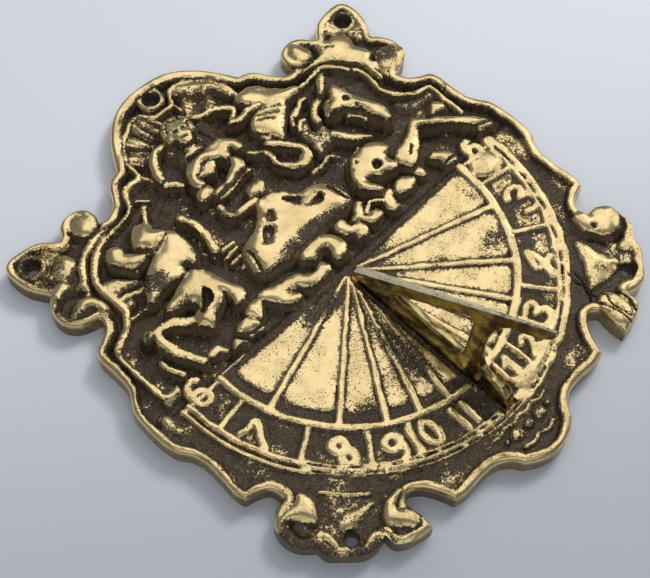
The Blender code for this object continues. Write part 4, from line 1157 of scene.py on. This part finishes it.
def gnomon_loop():
    """Side view of the gnomon as (y, z): style edge, tip, hooked strut, toe and foot."""
    tip = (STYLE_START[0] - STYLE_LENGTH * math.cos(STYLE_ANGLE),
           STYLE_START[1] + STYLE_LENGTH * math.sin(STYLE_ANGLE))
    under = smooth_path(read(GNOMON_UNDERSIDE), 6)
    foot_z = SEAT_Z + FOOT_GAP
    corners = [(FOOT_START_Y, foot_z), STYLE_START, tip]
    return resample(np.vstack((corners, under, [(FOOT_END_Y, foot_z)])), 0.7, True)


def gnomon_half(y, z, room):
    """Half thickness: the casting's draft, swollen at the toe, with rounded edges."""
    half = (FOOT_THICK - DRAFT * (z - SEAT_Z)) / 2
    toe = np.hypot((y - TOE[0]) / 6.5, (z - TOE[1]) / 6.0)
    half = half + 0.5 * (1 - ramp(0.4, 1.0, toe))
    style = -(y - STYLE_START[0]) * math.sin(STYLE_ANGLE) - (z - STYLE_START[1]) * math.cos(STYLE_ANGLE)
    soft = np.where(np.abs(style) < 1.5, 0.35, np.minimum(1.2, half * 0.75))
    soft = np.where(z < SEAT_Z + 1.0, 0.2, soft)
    inset = np.clip(1 - room / soft, 0.0, 1.0)
    return half - soft * (1 - np.sqrt(1 - inset**2))


def build_gnomon(material):
    """The gnomon with its window: two mirrored sides and the edge between them."""
    loop = anticlockwise(gnomon_loop())
    window = resample(smooth_loop([(*p, "c") for p in read(WINDOW)], 2), 0.8, True)

    def room(y, z):
        return np.minimum(path_distance(y, z, loop, True), path_distance(y, z, window, True))

    def solid(y, z):
        return inside(y, z, loop) & ~inside(y, z, window)

    gy, gz = (g.ravel() for g in np.meshgrid(*(np.arange(side.min(), side.max(), 1.0) for side in loop.T)))
    keep = solid(gy, gz) & (room(gy, gz) > 1.5)
    loose = [np.stack((gy[keep], gz[keep]), 1)]
    for base, normal in ((loop, -outward(loop)), (window, outward(window))):
        loose += shifted_rows(base, normal, GNOMON_ROWS, 0.04, room, solid)
    flat, tris = triangulate([loop, window], np.vstack(loose))
    half = gnomon_half(*flat.T, room(*flat.T))
    count = len(flat)
    verts = np.vstack((np.column_stack((half, flat)), np.column_stack((-half, flat))))
    faces = [tuple(t) for t in tris] + [tuple(t[::-1] + count) for t in tris]
    for first, sides in ((0, len(loop)), (len(loop), len(window))):
        row = range(first, first + sides)
        faces += [(a, a + count, b + count, b) for a, b in zip(row, (*row[1:], first))]
    mesh = new_mesh("gnomon_cast", verts, faces)
    work = bmesh.new()
    work.from_mesh(mesh)
    bmesh.ops.recalc_face_normals(work, faces=work.faces)
    work.to_mesh(mesh)
    work.free()
    return finish_mesh(mesh, material, 50)


class Nodes:
    """Small helper for writing node trees; points and lengths are in millimetres."""

    def __init__(self, name):
        self.material = bpy.data.materials.new(name)
        self.material.use_nodes = True
        self.tree = self.material.node_tree
        self.shader = self.tree.nodes["Principled BSDF"]
        scaled = self.add("ShaderNodeVectorMath", operation="SCALE")
        self.put(scaled.inputs[0], self.add("ShaderNodeTexCoord").outputs["Object"])
        scaled.inputs["Scale"].default_value = 1000.0
        self.mm = scaled.outputs[0]

    def add(self, kind, inputs=(), **settings):
        node = self.tree.nodes.new(kind)
        for key, value in settings.items():
            setattr(node, key, value)
        for key, value in dict(inputs).items():
            self.put(node.inputs[key], value)
        return node

    def put(self, socket, value):
        if isinstance(value, bpy.types.NodeSocket):
            self.tree.links.new(value, socket)
        else:
            socket.default_value = value

    def set(self, **values):
        """Sets inputs of the shader; an underscore in a name stands for a space."""
        for name, value in values.items():
            self.put(self.shader.inputs[name.replace("_", " ")], value)

    def math(self, operation, *values):
        node = self.add("ShaderNodeMath", operation=operation)
        for socket, value in zip(node.inputs, values):
            self.put(socket, value)
        return node.outputs[0]

    def plus(self, first, second):
        return self.math("ADD", first, second)

    def times(self, first, second):
        return self.math("MULTIPLY", first, second)

    def swing(self, value, amount):
        """A noise value moved to lie around zero, times an amount."""
        return self.times(self.math("SUBTRACT", value, 0.5), amount)

    def noise(self, scale, detail=3.0, rough=0.55, stretch=None):
        place = self.mm
        if stretch:
            place = self.add("ShaderNodeMapping", {"Vector": place, "Scale": stretch}).outputs[0]
        inputs = {"Vector": place, "Scale": scale, "Detail": detail, "Roughness": rough}
        return self.add("ShaderNodeTexNoise", inputs).outputs["Fac"]

    def ramp(self, value, low, high, to_low=0.0, to_high=1.0, kind="SMOOTHSTEP"):
        inputs = {"Value": value, "From Min": low, "From Max": high, "To Min": to_low, "To Max": to_high}
        return self.add("ShaderNodeMapRange", inputs, interpolation_type=kind).outputs["Result"]

    def between(self, share, first, second):
        """A plain number that goes straight from one to the other."""
        return self.ramp(share, 0.0, 1.0, first, second, "LINEAR")

    def mix(self, factor, first, second, kind="RGBA"):
        a, b, result = {"FLOAT": (2, 3, 0), "RGBA": (6, 7, 2)}[kind]
        node = self.add("ShaderNodeMix", {"Factor": factor}, data_type=kind)
        self.put(node.inputs[a], first)
        self.put(node.inputs[b], second)
        return node.outputs[result]

    def axes(self, vector):
        return self.add("ShaderNodeSeparateXYZ", {"Vector": vector}).outputs

    def normal(self):
        return self.axes(self.add("ShaderNodeNewGeometry").outputs["Normal"])

    def stored(self, name):
        node = self.add("ShaderNodeAttribute", attribute_name=name, attribute_type="GEOMETRY")
        return node.outputs["Fac"]

    def bump(self, height, strength, distance):
        node = self.add("ShaderNodeBump", {"Height": height, "Strength": strength, "Distance": distance})
        self.set(Normal=node.outputs[0])


def cast_brass():
    """Polished high spots over dark, grainy tarnish, split by the stored polish and speckle. The stored
    polish also carries painted shade, steep faces take a darker brass as painted shade, and flanks a paler
    tarnish as painted bounce light.
    """
    n = Nodes("cast_brass_worn_and_painted_shade")
    broad = n.noise(0.12, 2.0)
    patch = n.noise(0.5)
    grain = n.noise(1.3, 4.0, 0.7)
    value = n.plus(n.plus(n.stored("polish"), n.swing(grain, 1.6)), n.swing(patch, 0.8))
    pocks = n.times(n.ramp(n.noise(1.6, 2.0), 0.60, 0.67), n.ramp(broad, 0.42, 0.58, 0.1, 0.8))
    pocks = n.times(pocks, n.ramp(n.axes(n.mm)["Y"], 0.0, 6.0, 1.0, 0.3))
    mask = n.ramp(n.math("SUBTRACT", value, pocks), 0.50, 0.60)
    # Steep faces take a darker brass, which is painted shade on the walls and flanks
    steep = n.ramp(n.math("ABSOLUTE", n.normal()["Z"]), 0.1, 0.4, 0.75, 0.0)
    bright = n.mix(steep, n.mix(n.ramp(broad, 0.34, 0.7), BRASS, BRASS_DEEP), BRASS_STEEP_SHADE)
    dark = n.mix(n.ramp(grain, 0.35, 0.8), TARNISH_DARK, TARNISH_BROWN)
    # Flanks take a paler tarnish: painted bounce light on the sides of the forms that lie in shade
    dark = n.mix(n.times(n.stored("flank"), 0.78), dark, TARNISH_FLANK_PAINTED_BOUNCE)
    dull = n.ramp(grain, 0.3, 0.7, 0.19, 0.37)
    shine = n.ramp(patch, 0.3, 0.7, 0.13, 0.24)
    n.set(Base_Color=n.mix(mask, dark, bright), Metallic=n.between(mask, 0.42, 1.0),
          Specular_IOR_Level=n.between(mask, 0.4, 0.5), Roughness=n.mix(mask, dull, shine, "FLOAT"))
    coarse = n.times(grain, n.between(mask, 1.3, 0.12))
    fine = n.times(n.noise(4.0, 2.0), n.between(mask, 0.5, 0.03))
    n.bump(n.plus(n.plus(coarse, fine), n.times(mask, 0.35)), 0.6, 0.00035)
    return n.material


def gnomon_brass():
    """Handled, darker brass: brown streaks on its sides and a pale style edge, partly a dulled finish and
    partly a painted reflection.
    """
    n = Nodes("gnomon_brass_aged_and_painted_sheen")
    place = n.axes(n.mm)
    streak = n.noise(0.5, 4.0, 0.6, stretch=(1.0, 0.22, 0.3))
    grain = n.noise(2.4)
    low = n.ramp(place["Z"], 8.0, 40.0, 0.12, 0.0)
    far = n.times(n.ramp(place["Y"], -76.0, -60.0, 0.14, 0.0), n.ramp(place["Z"], 20.0, 28.0))
    stain = n.plus(n.plus(n.plus(streak, low), n.times(grain, 0.2)), far)
    side = n.mix(n.ramp(stain, 0.56, 0.80), GNOMON_SIDE, GNOMON_STAIN)
    normal = n.normal()
    # The upward-facing style edge takes a pale colour: painted reflection, partly a dulled finish
    style = n.times(n.ramp(normal["Y"], 0.3, 0.5), n.ramp(normal["Z"], 0.6, 0.75))
    style = n.times(style, n.ramp(streak, 0.36, 0.56, 1.0, 0.8))
    fleck = n.noise(1.5, stretch=(1.0, 0.3, 0.4))
    style = n.times(style, n.ramp(n.plus(fleck, far), 0.58, 0.68, 1.0, 0.45))
    n.set(Base_Color=n.mix(style, side, GNOMON_STYLE_PAINTED_SHEEN), Metallic=n.between(style, 1.0, 0.45),
          Roughness=n.between(style, 0.17, 0.42))
    n.bump(n.plus(n.times(streak, 0.5), n.times(grain, 0.08)), 0.18, 0.0003)
    return n.material


def fixing_brass():
    """Turned brass with faint tool rings and a dull film."""
    n = Nodes("fixing_brass_turned")
    grain = n.noise(1.8)
    film = n.ramp(grain, 0.42, 0.72)
    n.set(Base_Color=n.mix(film, FIXING_BRIGHT, FIXING_FILM), Metallic=1.0,
          Roughness=n.ramp(grain, 0.3, 0.7, 0.22, 0.42))
    n.bump(n.noise(1.0, 2.0, stretch=(0.3, 0.3, 9.0)), 0.3, 0.0002)
    return n.material


def paper():
    """The studio floor, paler towards one side: painted light falloff."""
    n = Nodes("studio_paper_painted_falloff")
    turned = n.add("ShaderNodeMapping", {"Vector": n.mm, "Rotation": (0.0, 0.0, -1.06)}).outputs[0]
    share = n.ramp(n.axes(turned)["X"], -190.0, 120.0)
    n.set(Base_Color=n.mix(share, PAPER_SHADED_END, PAPER_LIT_END), Roughness=0.65, Specular_IOR_Level=0.3)
    return n.material


def area_light(name, target, direction, distance, size, power, colour):
    data = bpy.data.lights.new(name, "AREA")
    data.shape = "RECTANGLE"
    data.size, data.size_y = size
    data.energy = power
    data.color = colour
    obj = new_object(name, data)
    toward = Vector(direction).normalized()
    obj.location = target + toward * distance
    obj.rotation_mode = "QUATERNION"
    obj.rotation_quaternion = toward.to_track_quat("Z", "Y")
    return obj


def make_stage(floor_z):
    mesh = bpy.data.meshes.new("studio_floor")
    corners = ((-1, -1), (1, -1), (1, 1), (-1, 1))
    mesh.from_pydata([(x * FLOOR_REACH, y * FLOOR_REACH, floor_z) for x, y in corners], [], [(0, 1, 2, 3)])
    mesh.materials.append(paper())
    floor = new_object("studio_floor", mesh)


def make_camera(origin):
    """Long lens looking down at about 61 degrees, turned so that the plaque lies at a slant."""
    back = Vector((math.sin(AZIMUTH) * math.cos(ELEVATION), -math.cos(AZIMUTH) * math.cos(ELEVATION),
                   math.sin(ELEVATION)))
    level = Vector((math.cos(AZIMUTH), math.sin(AZIMUTH), 0.0))
    right = level * math.cos(ROLL) + back.cross(level) * math.sin(ROLL)
    data = bpy.data.cameras.new("camera")
    data.lens = LENS_MM
    data.sensor_width = 36.0
    obj = new_object("camera", data)
    turn = Matrix((right, back.cross(right), back)).transposed().to_4x4()
    obj.matrix_world = Matrix.Translation(origin + Vector(LOOK_AT) * MM + back * CAMERA_DISTANCE) @ turn
    bpy.context.scene.camera = obj


def make_world(colour):
    world = bpy.data.worlds.new("studio")
    world.use_nodes = True
    world.node_tree.nodes["Background"].inputs["Color"].default_value = colour
    bpy.context.scene.world = world


def main():
    low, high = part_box("dial_plate")
    origin = Vector(((low.x + high.x) / 2, 0.0, low.z))
    plaque = build_plaque(cast_brass())
    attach(plaque, "root")
    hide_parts("dial_plate")
    gnomon = build_gnomon(gnomon_brass())
    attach(gnomon, "root")
    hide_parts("gnomon")
    fixing = fixing_brass()
    for name in ("gnomon_screw_root", "gnomon_screw_toe", "gnomon_washer_root", "gnomon_washer_toe"):
        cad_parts[name].material_slots[0].material = fixing
    make_stage(low.z)
    make_camera(origin)
    make_world(SURROUND)
    target = Vector((0.0, 0.0, RIDGE_Z * MM))
    lamps = {name: area_light(name, target, *row) for name, row in LIGHTS.items()}
    lamps["key"].visible_glossy = False
    lamps["card"].visible_diffuse = False
    bpy.context.scene.view_settings.view_transform = "Standard"


main()
